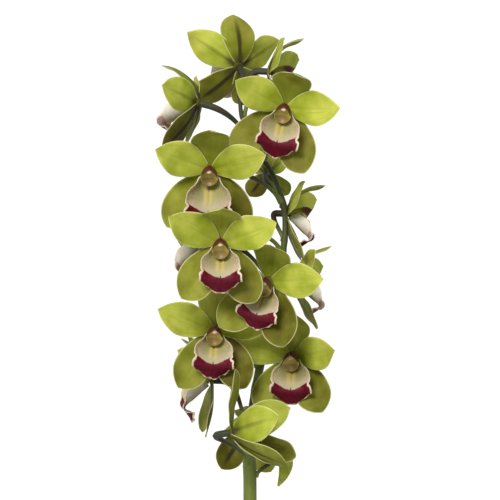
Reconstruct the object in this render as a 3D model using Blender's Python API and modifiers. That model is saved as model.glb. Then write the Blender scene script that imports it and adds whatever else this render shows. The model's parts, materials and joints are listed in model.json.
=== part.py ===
"""A potted cymbidium orchid: a flower spike of sixteen blooms and a bud over a clump of pseudobulbs.

The pot stands at the origin on its underside, +Z is up and the spike's best side faces -Y.
Lengths are in millimetres until an object is placed; the scene itself is in metres.
"""

import math
from collections import namedtuple

import bmesh
import bpy
from mathutils import Matrix, Vector

MM = 0.001
GAP = 0.4  # clearance between pieces that touch in the real plant

# Pot and potting mix
POT_HEIGHT = 150
POT_TOP_RADIUS = 84
POT_BASE_RADIUS = 62
POT_WALL = 4.5
POT_FLOOR = 6
RIM_HEIGHT = 17
RIM_PROUD = 3
DRAIN_HOLES = 6
DRAIN_RADIUS = 2.5
DRAIN_CIRCLE = 38
MIX_TOP = 130
MIX_DOME = 5

# Flower spike: the stem's centre line and its radius, from inside the mix to the top flower
STEM_POINTS = [
    (0, 0, 112), (0, 0, 250), (0, 0, 400), (0, 2, 455), (4, 6, 492), (12, 7, 536),
    (21, 5, 582), (30, 2, 624), (31, 2, 660), (22, 3, 690), (6, 3, 716), (-7, 4, 745), (-9, 8, 764),
]
STEM_BASE_RADIUS = 6.0
STEM_TOP_RADIUS = 1.8
STEM_TAPER_FROM = 430

# One flower, as measured on an open bloom
RING_INNER = 3.6
RING_OUTER = 5.2
TEPAL_THICKNESS = 1.0
LIP_THICKNESS = 0.9
NECK_RADIUS = 2.9
PEDICEL_RADIUS = 1.9
COLUMN_PATH = [(3, 0.1), (10, 1.0), (18, 1.2), (25, -0.6), (29.5, -3.0)]
COLUMN_RADII = [2.8, 3.1, 3.6, 3.8, 2.0]
PERIANTH_BEHIND = 9  # straight stretch of ovary behind the tepals
STALK_STEPS = 5

Tepal = namedtuple("Tepal", "length width angle sweep bend cup")
TEPALS = [
    Tepal(length=51, width=34, angle=0, sweep=6, bend=72, cup=0.22),
    Tepal(length=56, width=31, angle=70, sweep=24, bend=14, cup=0.10),
    Tepal(length=57, width=34, angle=147, sweep=4, bend=30, cup=0.18),
    Tepal(length=57, width=34, angle=213, sweep=4, bend=30, cup=0.18),
    Tepal(length=56, width=31, angle=290, sweep=24, bend=14, cup=0.10),
]
TEPAL_ROWS = [0.20, 0.50, 0.79, 1.0]
TEPAL_COLUMNS = 2
WIDEST = 0.56  # share of a tepal's length at its widest point
BASE_SHARE = 0.28  # width at the base over the greatest width

LIP_FOLD = 0.62  # share of its length at which it turns down
LIP_SIDE = 20  # half the width over its side lobes
LIP_LOBE = 19  # half the width of its middle lobe
LIP_SHOULDER = 0.20  # how much the side lobes swell beside the column, as a share of LIP_SIDE
LIP_REFLEX = 0.65  # how far, in radians, the middle lobe's sides turn back
LIP_ROWS = 5
LIP_COLUMNS = 4
LIP_START = (1.6, -4.9)  # forward of the ring, and below its centre

# hub: where a flower's tepals meet. turn: 0 faces -Y, 90 faces +X. nod: downwards. roll: clockwise
# from the front. node: height at which its stalk leaves the stem. dorsal: how far its upper sepal
# leans forward at its foot, and how far it bends from there. petals, laterals: how far the right
# and the left one lean forward. lifts: how far the petals are raised. swing: how far the lip and
# the column turn aside, clockwise. lip: how steeply it leaves the flower and ends, and its length.
HALF_OPEN = (42, 144, 46)
Flower = namedtuple(
    "Flower", "hub turn nod roll size node dorsal petals lifts laterals swing lip",
    defaults=((6, 72), (24, 24), (0, 0), (4, 4), 0, (46, 122, 46)),
)
FLOWERS = [
    Flower((-11, 38, 795), 202, -30, 2, 0.98, 764, dorsal=(6, 70), lifts=(4, 0)),
    Flower((18, 16, 787), 86, 4, -4, 0.88, 745, dorsal=(10, 72), petals=(24, 10), lifts=(0, 14),
           laterals=(4, 8), lip=HALF_OPEN),
    Flower((-47, -16, 756), -108, -14, 0, 0.98, 716, dorsal=(24, 74), petals=(10, 24), lifts=(-14, 0),
           laterals=(-2, 4), lip=HALF_OPEN),
    Flower((30, -48, 748), -4, 12, 16, 1.00, 706, dorsal=(8, 78), petals=(24, 32), swing=-4),
    Flower((-35, -52, 694), 0, 12, 2, 1.02, 668, dorsal=(6, 68), lifts=(2, 4), laterals=(-8, -8),
           lip=(60, 120, 52)),
    Flower((34, 16, 658), 86, 2, 0, 0.88, 634, dorsal=(18, 76), petals=(24, 12), lifts=(0, 14),
           laterals=(4, 10), lip=HALF_OPEN),
    Flower((-25, -80, 630), 0, 8, 2, 1.00, 622, dorsal=(8, 76), lifts=(9, 9), laterals=(-4, 4),
           swing=-2),
    Flower((-43, 12, 634), -98, 2, 0, 0.98, 592, dorsal=(6, 45), petals=(10, 24), lip=(48, 122, 46)),
    Flower((16, -50, 597), -12, 8, 15, 1.00, 556, dorsal=(6, 78), petals=(16, 16), lifts=(0, -24)),
    Flower((42, 20, 597), 92, 0, 0, 0.90, 574, dorsal=(12, 76), petals=(30, 14), lifts=(0, 14),
           laterals=(8, 8), lip=HALF_OPEN),
    Flower((-31, -24, 553), 0, 6, 3, 1.00, 520, dorsal=(2, 45), petals=(14, 14)),
    Flower((38, -6, 529), -6, 5, 0, 1.00, 500, dorsal=(6, 56), petals=(42, 14), lifts=(-4, 0),
           laterals=(10, 8)),
    Flower((-36, 22, 506), -82, -2, 0, 0.96, 466, petals=(24, 24), lifts=(34, 10),
           laterals=(-6, -10), lip=(42, 126, 46)),
    Flower((-14, -60, 467), 80, -8, 0, 1.04, 434, dorsal=(0, 24), petals=(50, 52), laterals=(42, 44),
           lip=(18, 90, 28)),
    Flower((-2, 52, 459), 184, 20, -4, 0.76, 430, dorsal=(20, 60), petals=(58, 58)),
    Flower((15, 42, 697), 172, -24, 0, 0.58, 664, petals=(44, 44), laterals=(4, 4), lip=(40, 122, 24)),
]

# Leaves of each fan: azimuth from +X, length, steepness at the base, total bend, and width
Leaf = namedtuple("Leaf", "azimuth length rise bend width")
Bulb = namedtuple("Bulb", "name place height radius turn leaves")
BULBS = [
    Bulb("left", (-37, 12), 74, 21, 20, [
        Leaf(112, 300, 80, 118, 21), Leaf(136, 345, 76, 128, 23), Leaf(160, 300, 68, 118, 23),
        Leaf(182, 350, 78, 140, 24), Leaf(206, 285, 66, 112, 22), Leaf(230, 320, 76, 130, 21),
    ]),
    Bulb("right", (37, 14), 78, 22, -25, [
        Leaf(70, 310, 80, 120, 22), Leaf(46, 345, 74, 126, 23), Leaf(22, 290, 66, 112, 23),
        Leaf(-2, 350, 78, 142, 24), Leaf(-24, 300, 68, 116, 23), Leaf(-46, 330, 77, 130, 21),
    ]),
    Bulb("front", (4, -40), 66, 20, 5, [
        Leaf(246, 300, 72, 122, 21), Leaf(262, 330, 80, 146, 22), Leaf(281, 290, 68, 116, 22),
        Leaf(299, 320, 78, 136, 21), Leaf(272, 210, 84, 90, 17),
    ]),
]
BULB_SUNK = 14  # depth of a bulb's foot under the surface of the mix
SHEATH_HEIGHT = 50
SHEATH_RADIUS = 15
SHEATH_OVER_BULB = 16  # how far a sheath reaches down over its bulb
LEAF_THICKNESS = 1.3
LEAF_FOOT_OUT = 3.5  # a leaf leaves its fan's axis by this much
LEAF_ROWS = 7

# Papery bracts round the bare part of the stem: height of the foot, length and side they open to
BRACTS = [("lower", 175, 48, 200), ("upper", 268, 44, 20)]

BUD_NODE = 422
BUD_PATH = [(8, -3, 426), (14, -5, 431), (22, -8, 436), (29, -9, 438), (32, -10, 434), (30, -11, 424),
            (25, -12, 414)]
BUD_RADII = [1.7, 1.7, 1.8, 2.4, 4.6, 4.4, 1.0]


def vec(x, y, z):
    """A point given in millimetres, in metres."""
    return Vector((x * MM, y * MM, z * MM))


def clear_scene():
    for obj in list(bpy.data.objects):
        bpy.data.objects.remove(obj, do_unlink=True)


def collection(name, hidden=False):
    made = bpy.data.collections.new(name)
    bpy.context.scene.collection.children.link(made)
    made.hide_render = hidden
    return made


def material(name, colour, roughness, metallic=0.0):
    made = bpy.data.materials.new(name)
    made.use_nodes = True
    shader = made.node_tree.nodes["Principled BSDF"]
    shader.inputs["Base Color"].default_value = (*colour, 1)
    shader.inputs["Roughness"].default_value = roughness
    shader.inputs["Metallic"].default_value = metallic
    made.diffuse_color = (*colour, 1)
    return made


def mesh_object(name, mesh, group, finish):
    mesh.materials.append(finish)
    made = bpy.data.objects.new(name, mesh)
    group.objects.link(made)
    return made


def mesh_from(bm, name):
    bmesh.ops.recalc_face_normals(bm, faces=bm.faces)
    mesh = bpy.data.meshes.new(name)
    bm.to_mesh(mesh)
    bm.free()
    mesh.shade_smooth()
    return mesh


def solidify(obj, thickness):
    shell = obj.modifiers.new("thickness", "SOLIDIFY")
    shell.thickness = thickness * MM
    shell.offset = 0
    return shell


def boolean(obj, other, operation):
    cut = obj.modifiers.new(operation.lower(), "BOOLEAN")
    cut.operation = operation
    cut.object = other
    cut.solver = "EXACT"


def helper(obj):
    """Marks an object as a cutter or a piece to be joined, and not a part of its own."""
    obj.hide_render = True
    obj.display_type = "WIRE"
    return obj


def turned(name, profile, steps, group, finish):
    """A solid of revolution from (radius, height) pairs that run down its outer side."""
    mesh = bpy.data.meshes.new(name)
    points = [(radius * MM, 0, height * MM) for radius, height in profile]
    mesh.from_pydata(points, [(i, i + 1) for i in range(len(points) - 1)], [])
    obj = mesh_object(name, mesh, group, finish)
    screw = obj.modifiers.new("turn", "SCREW")
    screw.steps = steps
    screw.render_steps = steps
    screw.use_merge_vertices = True
    screw.merge_threshold = 0.00001
    screw.use_smooth_shade = True
    return obj


def tube(name, points, radii, group, finish, sides=2):
    """A round stalk along points, each with its own radius; sides is the bevel resolution."""
    curve = bpy.data.curves.new(name, "CURVE")
    curve.dimensions = "3D"
    curve.bevel_depth = MM
    curve.bevel_resolution = sides
    curve.use_fill_caps = True
    curve.resolution_u = 1
    line = curve.splines.new("POLY")
    line.points.add(len(points) - 1)
    for spot, place, radius in zip(line.points, points, radii):
        spot.co = (*place, 1)
        spot.radius = radius
    return mesh_object(name, curve, group, finish)


def catmull_rom(points, per_span):
    """A smooth line through the points, with per_span steps between neighbours."""
    ends = [2 * points[0] - points[1], *points, 2 * points[-1] - points[-2]]
    line = []
    for a, b, c, d in zip(ends, ends[1:], ends[2:], ends[3:]):
        for step in range(per_span):
            t = step / per_span
            line.append(0.5 * (2 * b + (c - a) * t + (2 * a - 5 * b + 4 * c - d) * t * t
                               + (3 * b - a - 3 * c + d) * t ** 3))
    return [*line, points[-1]]


def bezier(a, b, c, d, steps):
    """Points along a cubic from a to d, both ends included."""
    line = []
    for step in range(steps + 1):
        t = step / steps
        u = 1 - t
        line.append(a * u ** 3 + 3 * b * u * u * t + 3 * c * u * t * t + d * t ** 3)
    return line


def stem_radius(height):
    """The stem's radius in millimetres: even up to the first flower, then tapering."""
    top = STEM_POINTS[-1][2]
    share = min(1, max(0, (height - STEM_TAPER_FROM) / (top - STEM_TAPER_FROM)))
    return STEM_BASE_RADIUS + (STEM_TOP_RADIUS - STEM_BASE_RADIUS) * share ** 0.45


def stem_line():
    return catmull_rom([vec(*point) for point in STEM_POINTS], 2)


def stem_at(height):
    """The stem's centre at a height in millimetres."""
    line = stem_line()
    for low, high in zip(line, line[1:]):
        if high.z >= height * MM:
            return low.lerp(high, max(0, (height * MM - low.z) / (high.z - low.z)))
    return line[-1]


def tepal_outline(t):
    """Half the width of a tepal at share t of its length, over half its greatest width."""
    if t < WIDEST:
        return BASE_SHARE + (1 - BASE_SHARE) * math.sin(math.pi / 2 * t / WIDEST) ** 0.85
    reach = (t - WIDEST) / (1 - WIDEST)
    return max(0.12, (1 - reach ** 2.3) ** 0.68)


def tepal_point(tepal, t, s):
    """A point of a tepal in its flower's frame: t runs along it and s from -1 to 1 across it."""
    start, bend = math.radians(tepal.sweep), math.radians(tepal.bend)
    lean = start + bend * t
    out = tepal.length / bend * (math.sin(lean) - math.sin(start))
    forward = tepal.length / bend * (math.cos(start) - math.cos(lean))
    half = tepal.width / 2 * tepal_outline(t)
    lift = tepal.cup * t * s * s * half
    reach = RING_OUTER + out - math.sin(lean) * lift
    angle = math.radians(tepal.angle)
    return (
        reach * math.sin(angle) + s * half * math.cos(angle),
        -forward - math.cos(lean) * lift,
        reach * math.cos(angle) - s * half * math.sin(angle),
    )


def ring_point(tepal, radius, s):
    """A point on the hub ring, where the edges of neighbouring tepals share a corner."""
    angles = sorted(other.angle for other in TEPALS)
    index = angles.index(tepal.angle)
    after = angles[(index + 1) % len(angles)] + (360 if index + 1 == len(angles) else 0)
    before = angles[index - 1] - (360 if index == 0 else 0)
    neighbour = after if s > 0 else before
    angle = math.radians(tepal.angle + abs(s) * (neighbour - tepal.angle) / 2)
    return (radius * math.sin(angle), 0, radius * math.cos(angle))


def standing(flower):
    """The tepals as they stand in this flower, clockwise from the top one."""
    top, right, low_right, low_left, left = TEPALS
    return [
        top._replace(sweep=flower.dorsal[0], bend=flower.dorsal[1]),
        right._replace(sweep=flower.petals[0], angle=right.angle - flower.lifts[0]),
        low_right._replace(sweep=flower.laterals[0]),
        low_left._replace(sweep=flower.laterals[1]),
        left._replace(sweep=flower.petals[1], angle=left.angle + flower.lifts[1]),
    ]


def tepals_mesh(flower):
    """Three sepals and two petals, joined by a narrow ring round the column."""
    bm = bmesh.new()
    rows = 2 + len(TEPAL_ROWS)
    for tepal, leaning in zip(TEPALS, standing(flower)):
        made = bmesh.ops.create_grid(bm, x_segments=TEPAL_COLUMNS, y_segments=rows - 1, size=1)
        for vertex in made["verts"]:
            s = round(vertex.co.x * TEPAL_COLUMNS / 2) * 2 / TEPAL_COLUMNS
            row = round((vertex.co.y + 1) / 2 * (rows - 1))
            if row < 2:
                place = ring_point(tepal, (RING_INNER, RING_OUTER)[row], s)
            else:
                place = tepal_point(leaning, TEPAL_ROWS[row - 2], s)
            vertex.co = vec(*place)
    bmesh.ops.remove_doubles(bm, verts=bm.verts, dist=0.02 * MM)
    return mesh_from(bm, "tepals")


def lip_section(flower, v):
    """The lip's centre line, its direction, half width and curl at share v of its length."""
    steps = 24
    steep, end, length = flower.lip
    y, z, drop = -LIP_START[0], LIP_START[1], math.radians(steep)
    for step in range(int(v * steps + 0.5)):
        share = (step + 0.5) / steps
        drop = math.radians(steep + (end - steep) * smooth((share - LIP_FOLD + 0.06) / 0.20))
        y -= math.cos(drop) * length / steps
        z -= math.sin(drop) * length / steps
    if v < LIP_FOLD:
        share = 0.30 + 0.46 * smooth(v / 0.16) + 0.20 * v / LIP_FOLD
        half = LIP_SIDE * (share + LIP_SHOULDER * math.exp(-(((v - LIP_FOLD * 0.60) / 0.13) ** 2)))
    else:
        tail = (v - LIP_FOLD) / (1 - LIP_FOLD)
        half = LIP_LOBE * max(0.05, 1 - tail ** 2.2) ** 0.56
    half *= length / 46
    curl = 2.1 * (1 - min(1, v / 0.75) ** 1.5) - LIP_REFLEX * smooth((v - LIP_FOLD) / 0.25)
    return y, z, drop, half, curl


def smooth(x):
    x = min(1, max(0, x))
    return x * x * (3 - 2 * x)


def lip_point(flower, v, u):
    """A point of the lip in its own frame: v from its base to its tip, u from -1 to 1 across."""
    y, z, drop, half, curl = lip_section(flower, v)
    arc = u * half
    across, rise = arc, 0
    if abs(curl) > 1e-3:
        radius = half / curl
        across = radius * math.sin(arc / radius)
        rise = radius * (1 - math.cos(arc / radius))
    return (across, y - math.sin(drop) * rise, z + math.cos(drop) * rise)


def lip_mesh(flower):
    """The lip: side lobes that stand up beside the column, and a middle lobe that hangs down."""
    bm = bmesh.new()
    made = bmesh.ops.create_grid(bm, x_segments=LIP_COLUMNS, y_segments=LIP_ROWS, size=1)
    for vertex in made["verts"]:
        vertex.co = vec(*lip_point(flower, (vertex.co.y + 1) / 2, vertex.co.x))
    return mesh_from(bm, "lip")


def stalk_line(flower):
    """Centre line and radii of a stalk: pedicel, ovary and column, from the stem to the column's tip."""
    frame = flower_matrix(flower)
    hub = frame.translation
    forward = frame.to_3x3() @ Vector((0, -1, 0))
    foot = stem_at(flower.node)
    behind = hub - forward.normalized() * PERIANTH_BEHIND * MM
    outward = Vector((behind.x - foot.x, behind.y - foot.y, 0)).normalized()
    foot += outward * (stem_radius(flower.node) + PEDICEL_RADIUS + GAP) * MM
    reach = (behind - foot).length
    line = bezier(
        foot,
        foot + (outward * 0.5 + Vector((0, 0, 0.8))) * reach * 0.40,
        behind - forward.normalized() * reach * 0.35,
        behind,
        STALK_STEPS,
    )
    radii = [PEDICEL_RADIUS + (NECK_RADIUS - PEDICEL_RADIUS) * (i / STALK_STEPS) ** 2
             for i in range(STALK_STEPS + 1)]
    column = frame @ Matrix.Rotation(math.radians(flower.swing), 4, "Y")
    line += [column @ (vec(0, -y, z)) for y, z in COLUMN_PATH]
    radii += [radius * flower.size for radius in COLUMN_RADII]
    return line, radii


def flower_matrix(flower):
    turn, nod, roll = (math.radians(a) for a in (flower.turn, flower.nod, flower.roll))
    return (
        Matrix.Translation(vec(*flower.hub))
        @ Matrix.Rotation(turn, 4, "Z")
        @ Matrix.Rotation(nod, 4, "X")
        @ Matrix.Rotation(roll, 4, "Y")
        @ Matrix.Scale(flower.size, 4)
    )


def build_flowers(group, green, cream):
    for number, flower in enumerate(FLOWERS, 1):
        name = f"flower_{number:02d}"
        hub = bpy.data.objects.new(name + "_hub", None)
        group.objects.link(hub)
        hub.matrix_world = flower_matrix(flower)
        tepals, lip = tepals_mesh(flower), lip_mesh(flower)
        tepals.materials.append(green)
        lip.materials.append(cream)
        lip.transform(Matrix.Rotation(math.radians(flower.swing), 4, "Y"))
        for mesh, part, thickness in ((tepals, "tepals", TEPAL_THICKNESS), (lip, "lip", LIP_THICKNESS)):
            piece = bpy.data.objects.new(f"{name}_{part}", mesh)
            group.objects.link(piece)
            piece.parent = hub
            solidify(piece, thickness)
        line, radii = stalk_line(flower)
        tube(name + "_stalk", line, radii, group, green, sides=1)


def build_stem(group, finish):
    line = stem_line()
    radii = [stem_radius(point.z / MM) for point in line]
    tube("flower_spike_stem", line, radii, group, finish, sides=2)


def build_bud(group, finish):
    foot = stem_at(BUD_NODE) + vec(stem_radius(BUD_NODE) + BUD_RADII[0] + GAP, -1, 0)
    line = [foot, *(vec(*point) for point in BUD_PATH)]
    tube("bud", line, [BUD_RADII[0], *BUD_RADII], group, finish, sides=2)


def build_bracts(group, finish):
    """Sheathing bracts: a cone round the stem, open on one side and leaning off at its tip."""
    for name, foot, length, side in BRACTS:
        bm = bmesh.new()
        made = bmesh.ops.create_grid(bm, x_segments=8, y_segments=4, size=1)
        for vertex in made["verts"]:
            t = (vertex.co.y + 1) / 2
            wrap = math.radians(side + vertex.co.x * (165 - 125 * t ** 1.5))
            radius = STEM_BASE_RADIUS + 1.2 + 4.5 * t ** 2
            vertex.co = vec(radius * math.cos(wrap), radius * math.sin(wrap), foot + length * t)
        bract = mesh_object(f"stem_bract_{name}", mesh_from(bm, "bract"), group, finish)
        solidify(bract, 0.8)


def pot_inner_radius(height):
    share = height / POT_HEIGHT
    return POT_BASE_RADIUS + (POT_TOP_RADIUS - RIM_PROUD - POT_BASE_RADIUS) * share - POT_WALL


def pot_profile():
    rim_foot = POT_HEIGHT - RIM_HEIGHT
    body_top = pot_inner_radius(rim_foot) + POT_WALL
    return [
        (0, POT_FLOOR), (pot_inner_radius(POT_FLOOR), POT_FLOOR),
        (pot_inner_radius(POT_HEIGHT), POT_HEIGHT - 1.5), (pot_inner_radius(POT_HEIGHT) + 1.5, POT_HEIGHT),
        (POT_TOP_RADIUS - 1.5, POT_HEIGHT), (POT_TOP_RADIUS, POT_HEIGHT - 1.5),
        (POT_TOP_RADIUS - 1, rim_foot + 1.5), (POT_TOP_RADIUS - 2, rim_foot), (body_top, rim_foot - 1),
        (POT_BASE_RADIUS + 0.4, 3), (POT_BASE_RADIUS - 2, 0), (0, 0),
    ]


def build_pot(group, cutters, finish):
    pot = turned("pot", pot_profile(), 36, group, finish)
    for hole in range(DRAIN_HOLES):
        angle = 2 * math.pi * (hole + 0.6) / DRAIN_HOLES
        bm = bmesh.new()
        bmesh.ops.create_cone(bm, cap_ends=True, segments=10, radius1=DRAIN_RADIUS * MM,
                              radius2=DRAIN_RADIUS * MM, depth=4 * POT_FLOOR * MM)
        cutter = mesh_object(f"drain_cutter_{hole}", mesh_from(bm, "drain"), cutters, finish)
        cutter.location = vec(DRAIN_CIRCLE * math.cos(angle), DRAIN_CIRCLE * math.sin(angle), POT_FLOOR / 2)
        boolean(pot, helper(cutter), "DIFFERENCE")


def build_mix(group, cutters, finish):
    """The bark mix fills the pot, with a socket for each bulb and for the foot of the stem."""
    foot = POT_FLOOR + GAP
    edge = MIX_TOP - MIX_DOME
    profile = [
        (0, MIX_TOP), (26, MIX_TOP - 0.5), (50, MIX_TOP - 2), (pot_inner_radius(edge) - GAP - 1, edge),
        (pot_inner_radius(edge - 2) - GAP, edge - 2), (pot_inner_radius(foot) - GAP - 0.6, foot), (0, foot),
    ]
    mix = turned("bark_mix", profile, 28, group, finish)
    for bulb in BULBS:
        socket = bulb_object(f"socket_{bulb.name}", bulb, cutters, finish, GAP)
        boolean(mix, helper(socket), "DIFFERENCE")
    bm = bmesh.new()
    radius = (STEM_BASE_RADIUS + GAP + 0.3) * MM
    bmesh.ops.create_cone(bm, cap_ends=True, segments=16, radius1=radius, radius2=radius, depth=60 * MM)
    well = mesh_object("stem_well", mesh_from(bm, "well"), cutters, finish)
    well.location = vec(0, 0, STEM_POINTS[0][2] + 30 - GAP)
    boolean(mix, helper(well), "DIFFERENCE")


def bulb_object(name, bulb, group, finish, grow=0.0):
    """An egg-shaped pseudobulb, flattened a little and narrowing to its top."""
    bm = bmesh.new()
    bmesh.ops.create_uvsphere(bm, u_segments=14, v_segments=10, radius=1)
    half, radius = bulb.height / 2, bulb.radius
    for vertex in bm.verts:
        x, y, z = vertex.co
        narrow = 1 - 0.30 * z - 0.10 * z * z
        vertex.co = vec(x * (radius * narrow + grow), y * (radius * 0.82 * narrow + grow), z * (half + grow))
    obj = mesh_object(name, mesh_from(bm, name), group, finish)
    obj.location = vec(*bulb.place, MIX_TOP - BULB_SUNK + half)
    obj.rotation_euler.z = math.radians(bulb.turn)
    return obj


def leaf_mesh(leaf):
    """A strap leaf: a V across, steep at its foot and arching over to a pointed tip."""
    bm = bmesh.new()
    made = bmesh.ops.create_grid(bm, x_segments=2, y_segments=LEAF_ROWS, size=1)
    line = leaf_line(leaf)
    for vertex in made["verts"]:
        row = round((vertex.co.y + 1) / 2 * LEAF_ROWS)
        t = row / LEAF_ROWS
        out, up, slope = line[row]
        half = leaf.width / 2 * leaf_outline(t)
        lift = 0.42 * abs(vertex.co.x) * half * (1 - 0.5 * t)
        vertex.co = vec(out - math.sin(slope) * lift, vertex.co.x * half, up + math.cos(slope) * lift)
    return mesh_from(bm, "leaf")


def leaf_outline(t):
    """Half width along a leaf over its greatest: folded at the foot, pointed at the tip."""
    return (0.42 + 0.58 * smooth(t / 0.4)) * max(0.06, 1 - max(0, (t - 0.55) / 0.45) ** 2.2)


def leaf_line(leaf):
    """(distance out, height, slope) at each row of a leaf."""
    steps = 6
    out, up, line = LEAF_FOOT_OUT, 0.0, []
    rise, bend = math.radians(leaf.rise), math.radians(leaf.bend)
    for row in range(LEAF_ROWS + 1):
        line.append((out, up, rise - bend * (row / LEAF_ROWS) ** 1.5))
        for step in range(steps):
            t = (row + (step + 0.5) / steps) / LEAF_ROWS
            slope = rise - bend * t ** 1.5
            out += math.cos(slope) * leaf.length / LEAF_ROWS / steps
            up += math.sin(slope) * leaf.length / LEAF_ROWS / steps
    return line


def build_leaf_fan(bulb, group, helpers, finish):
    """A fan: a sheath over the top of its bulb, joined to the leaves that rise out of it."""
    crown = MIX_TOP - BULB_SUNK + bulb.height
    bm = bmesh.new()
    bmesh.ops.create_cone(bm, cap_ends=True, segments=12, radius1=SHEATH_RADIUS * MM,
                          radius2=SHEATH_RADIUS * 0.5 * MM, depth=SHEATH_HEIGHT * MM)
    fan = mesh_object(f"leaf_fan_{bulb.name}", mesh_from(bm, "sheath"), group, finish)
    fan.location = vec(*bulb.place, crown - SHEATH_OVER_BULB + SHEATH_HEIGHT / 2)
    for number, leaf in enumerate(bulb.leaves, 1):
        blade = mesh_object(f"{fan.name}_leaf_{number}", leaf_mesh(leaf), helpers, finish)
        blade.location = vec(*bulb.place, crown + 4)
        blade.rotation_euler.z = math.radians(leaf.azimuth)
        solidify(blade, LEAF_THICKNESS)
        boolean(fan, helper(blade), "UNION")
    seat = bulb_object(f"{fan.name}_seat", bulb, helpers, finish, GAP)
    boolean(fan, helper(seat), "DIFFERENCE")


def main():
    clear_scene()
    parts = collection("potted_orchid")
    helpers = collection("cutters_and_joined_pieces", hidden=True)
    ceramic = material("pot_ceramic", (0.72, 0.71, 0.68), 0.45)
    bark = material("bark", (0.16, 0.09, 0.05), 0.9)
    bulb_green = material("pseudobulb_green", (0.24, 0.32, 0.09), 0.5)
    leaf_green = material("leaf_green", (0.09, 0.22, 0.04), 0.4)
    stem_green = material("stem_green", (0.18, 0.27, 0.06), 0.5)
    tepal_green = material("tepal_green", (0.42, 0.55, 0.08), 0.5)
    lip_cream = material("lip_cream_and_red", (0.62, 0.30, 0.28), 0.5)
    bract_tan = material("bract_tan", (0.55, 0.50, 0.30), 0.7)
    build_pot(parts, helpers, ceramic)
    build_mix(parts, helpers, bark)
    for bulb in BULBS:
        bulb_object(f"pseudobulb_{bulb.name}", bulb, parts, bulb_green)
        build_leaf_fan(bulb, parts, helpers, leaf_green)
    build_stem(parts, stem_green)
    build_bracts(parts, bract_tan)
    build_flowers(parts, tepal_green, lip_cream)
    build_bud(parts, tepal_green)


main()
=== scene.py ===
"""Looks of a potted cymbidium orchid, laid over the frame that its CAD model gives.

Sizes are in millimetres until a mesh is made; the scene itself is in metres. +Z is up, the pot
stands at the origin and the best side of the flower spike faces -Y. Each sub-assembly is a class
that holds its sizes, builds its meshes and dresses them in its finishes.
"""

from __future__ import annotations

import json
import logging
import math
import random
from dataclasses import dataclass, field, replace
from enum import Enum
from typing import Any, Callable, Sequence

import bmesh  # noqa: E402
import bpy  # noqa: E402
import numpy as np  # noqa: E402
from mathutils import Matrix, Vector, noise  # noqa: E402

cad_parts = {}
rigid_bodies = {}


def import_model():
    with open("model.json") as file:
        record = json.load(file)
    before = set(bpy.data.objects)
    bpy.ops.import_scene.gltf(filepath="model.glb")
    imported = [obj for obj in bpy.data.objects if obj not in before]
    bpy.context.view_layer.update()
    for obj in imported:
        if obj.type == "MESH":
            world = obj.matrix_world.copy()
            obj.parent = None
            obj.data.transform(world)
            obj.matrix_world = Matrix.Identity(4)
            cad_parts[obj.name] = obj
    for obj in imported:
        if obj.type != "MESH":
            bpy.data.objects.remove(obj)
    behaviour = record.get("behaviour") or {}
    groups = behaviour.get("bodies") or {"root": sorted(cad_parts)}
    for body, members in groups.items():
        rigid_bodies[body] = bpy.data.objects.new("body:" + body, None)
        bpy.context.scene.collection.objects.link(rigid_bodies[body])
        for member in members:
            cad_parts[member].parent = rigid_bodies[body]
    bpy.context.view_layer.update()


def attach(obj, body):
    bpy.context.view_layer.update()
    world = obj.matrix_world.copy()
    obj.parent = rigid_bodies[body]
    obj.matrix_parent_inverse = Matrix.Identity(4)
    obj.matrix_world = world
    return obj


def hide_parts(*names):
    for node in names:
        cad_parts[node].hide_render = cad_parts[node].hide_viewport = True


log = logging.getLogger("orchid")

MM = 0.001
POT_HEIGHT = 150.0
MIX_TOP = 130.0
ROOT = "root"
UP = Vector((0, 0, 1))
Colour = tuple[float, float, float]


# ---- Lines and numbers ----


def smooth(x: float) -> float:
    """A soft step: 0 below x = 0, 1 above x = 1."""
    x = min(1.0, max(0.0, x))
    return x * x * (3 - 2 * x)


def bell(x: float, width: float) -> float:
    """A bell curve of height 1 centred on x = 0."""
    return math.exp(-((x / width) ** 2))


def wander(seed: float, x: float, y: float = 0.0) -> float:
    """Smooth noise in -1..1 that is the same on every run."""
    return noise.noise(Vector((x, y, seed * 7.31 + 0.5)))


def catmull_rom(points: Sequence[Vector], per_span: int) -> list[Vector]:
    """Draws a smooth line through points.

    Args:
        points: the points it passes through, in order.
        per_span: steps between neighbouring points.

    Returns:
        The points of the line, both ends included.
    """
    ends = [2 * points[0] - points[1], *points, 2 * points[-1] - points[-2]]
    line = []
    for a, b, c, d in zip(ends, ends[1:], ends[2:], ends[3:]):
        for step in range(per_span):
            t = step / per_span
            line.append(0.5 * (2 * b + (c - a) * t + (2 * a - 5 * b + 4 * c - d) * t * t
                               + (3 * b - a - 3 * c + d) * t ** 3))
    return [*line, points[-1].copy()]


def hoop(radius: float, height: float, sides: int) -> list[Vector]:
    """A level circle of points round the Z axis."""
    angles = [math.tau * side / sides for side in range(sides)]
    return [Vector((radius * math.cos(angle), radius * math.sin(angle), height)) for angle in angles]


def bezier(a: Vector, b: Vector, c: Vector, d: Vector, steps: int) -> list[Vector]:
    """Draws a cubic curve.

    Args:
        a: its start.
        b: the handle that its start aims at.
        c: the handle that its end comes from.
        d: its end.
        steps: how many pieces it is cut into.

    Returns:
        steps + 1 points.
    """
    line = []
    for step in range(steps + 1):
        t = step / steps
        u = 1 - t
        line.append(a * u ** 3 + 3 * b * u * u * t + 3 * c * u * t * t + d * t ** 3)
    return line


# ---- Node graphs ----


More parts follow.
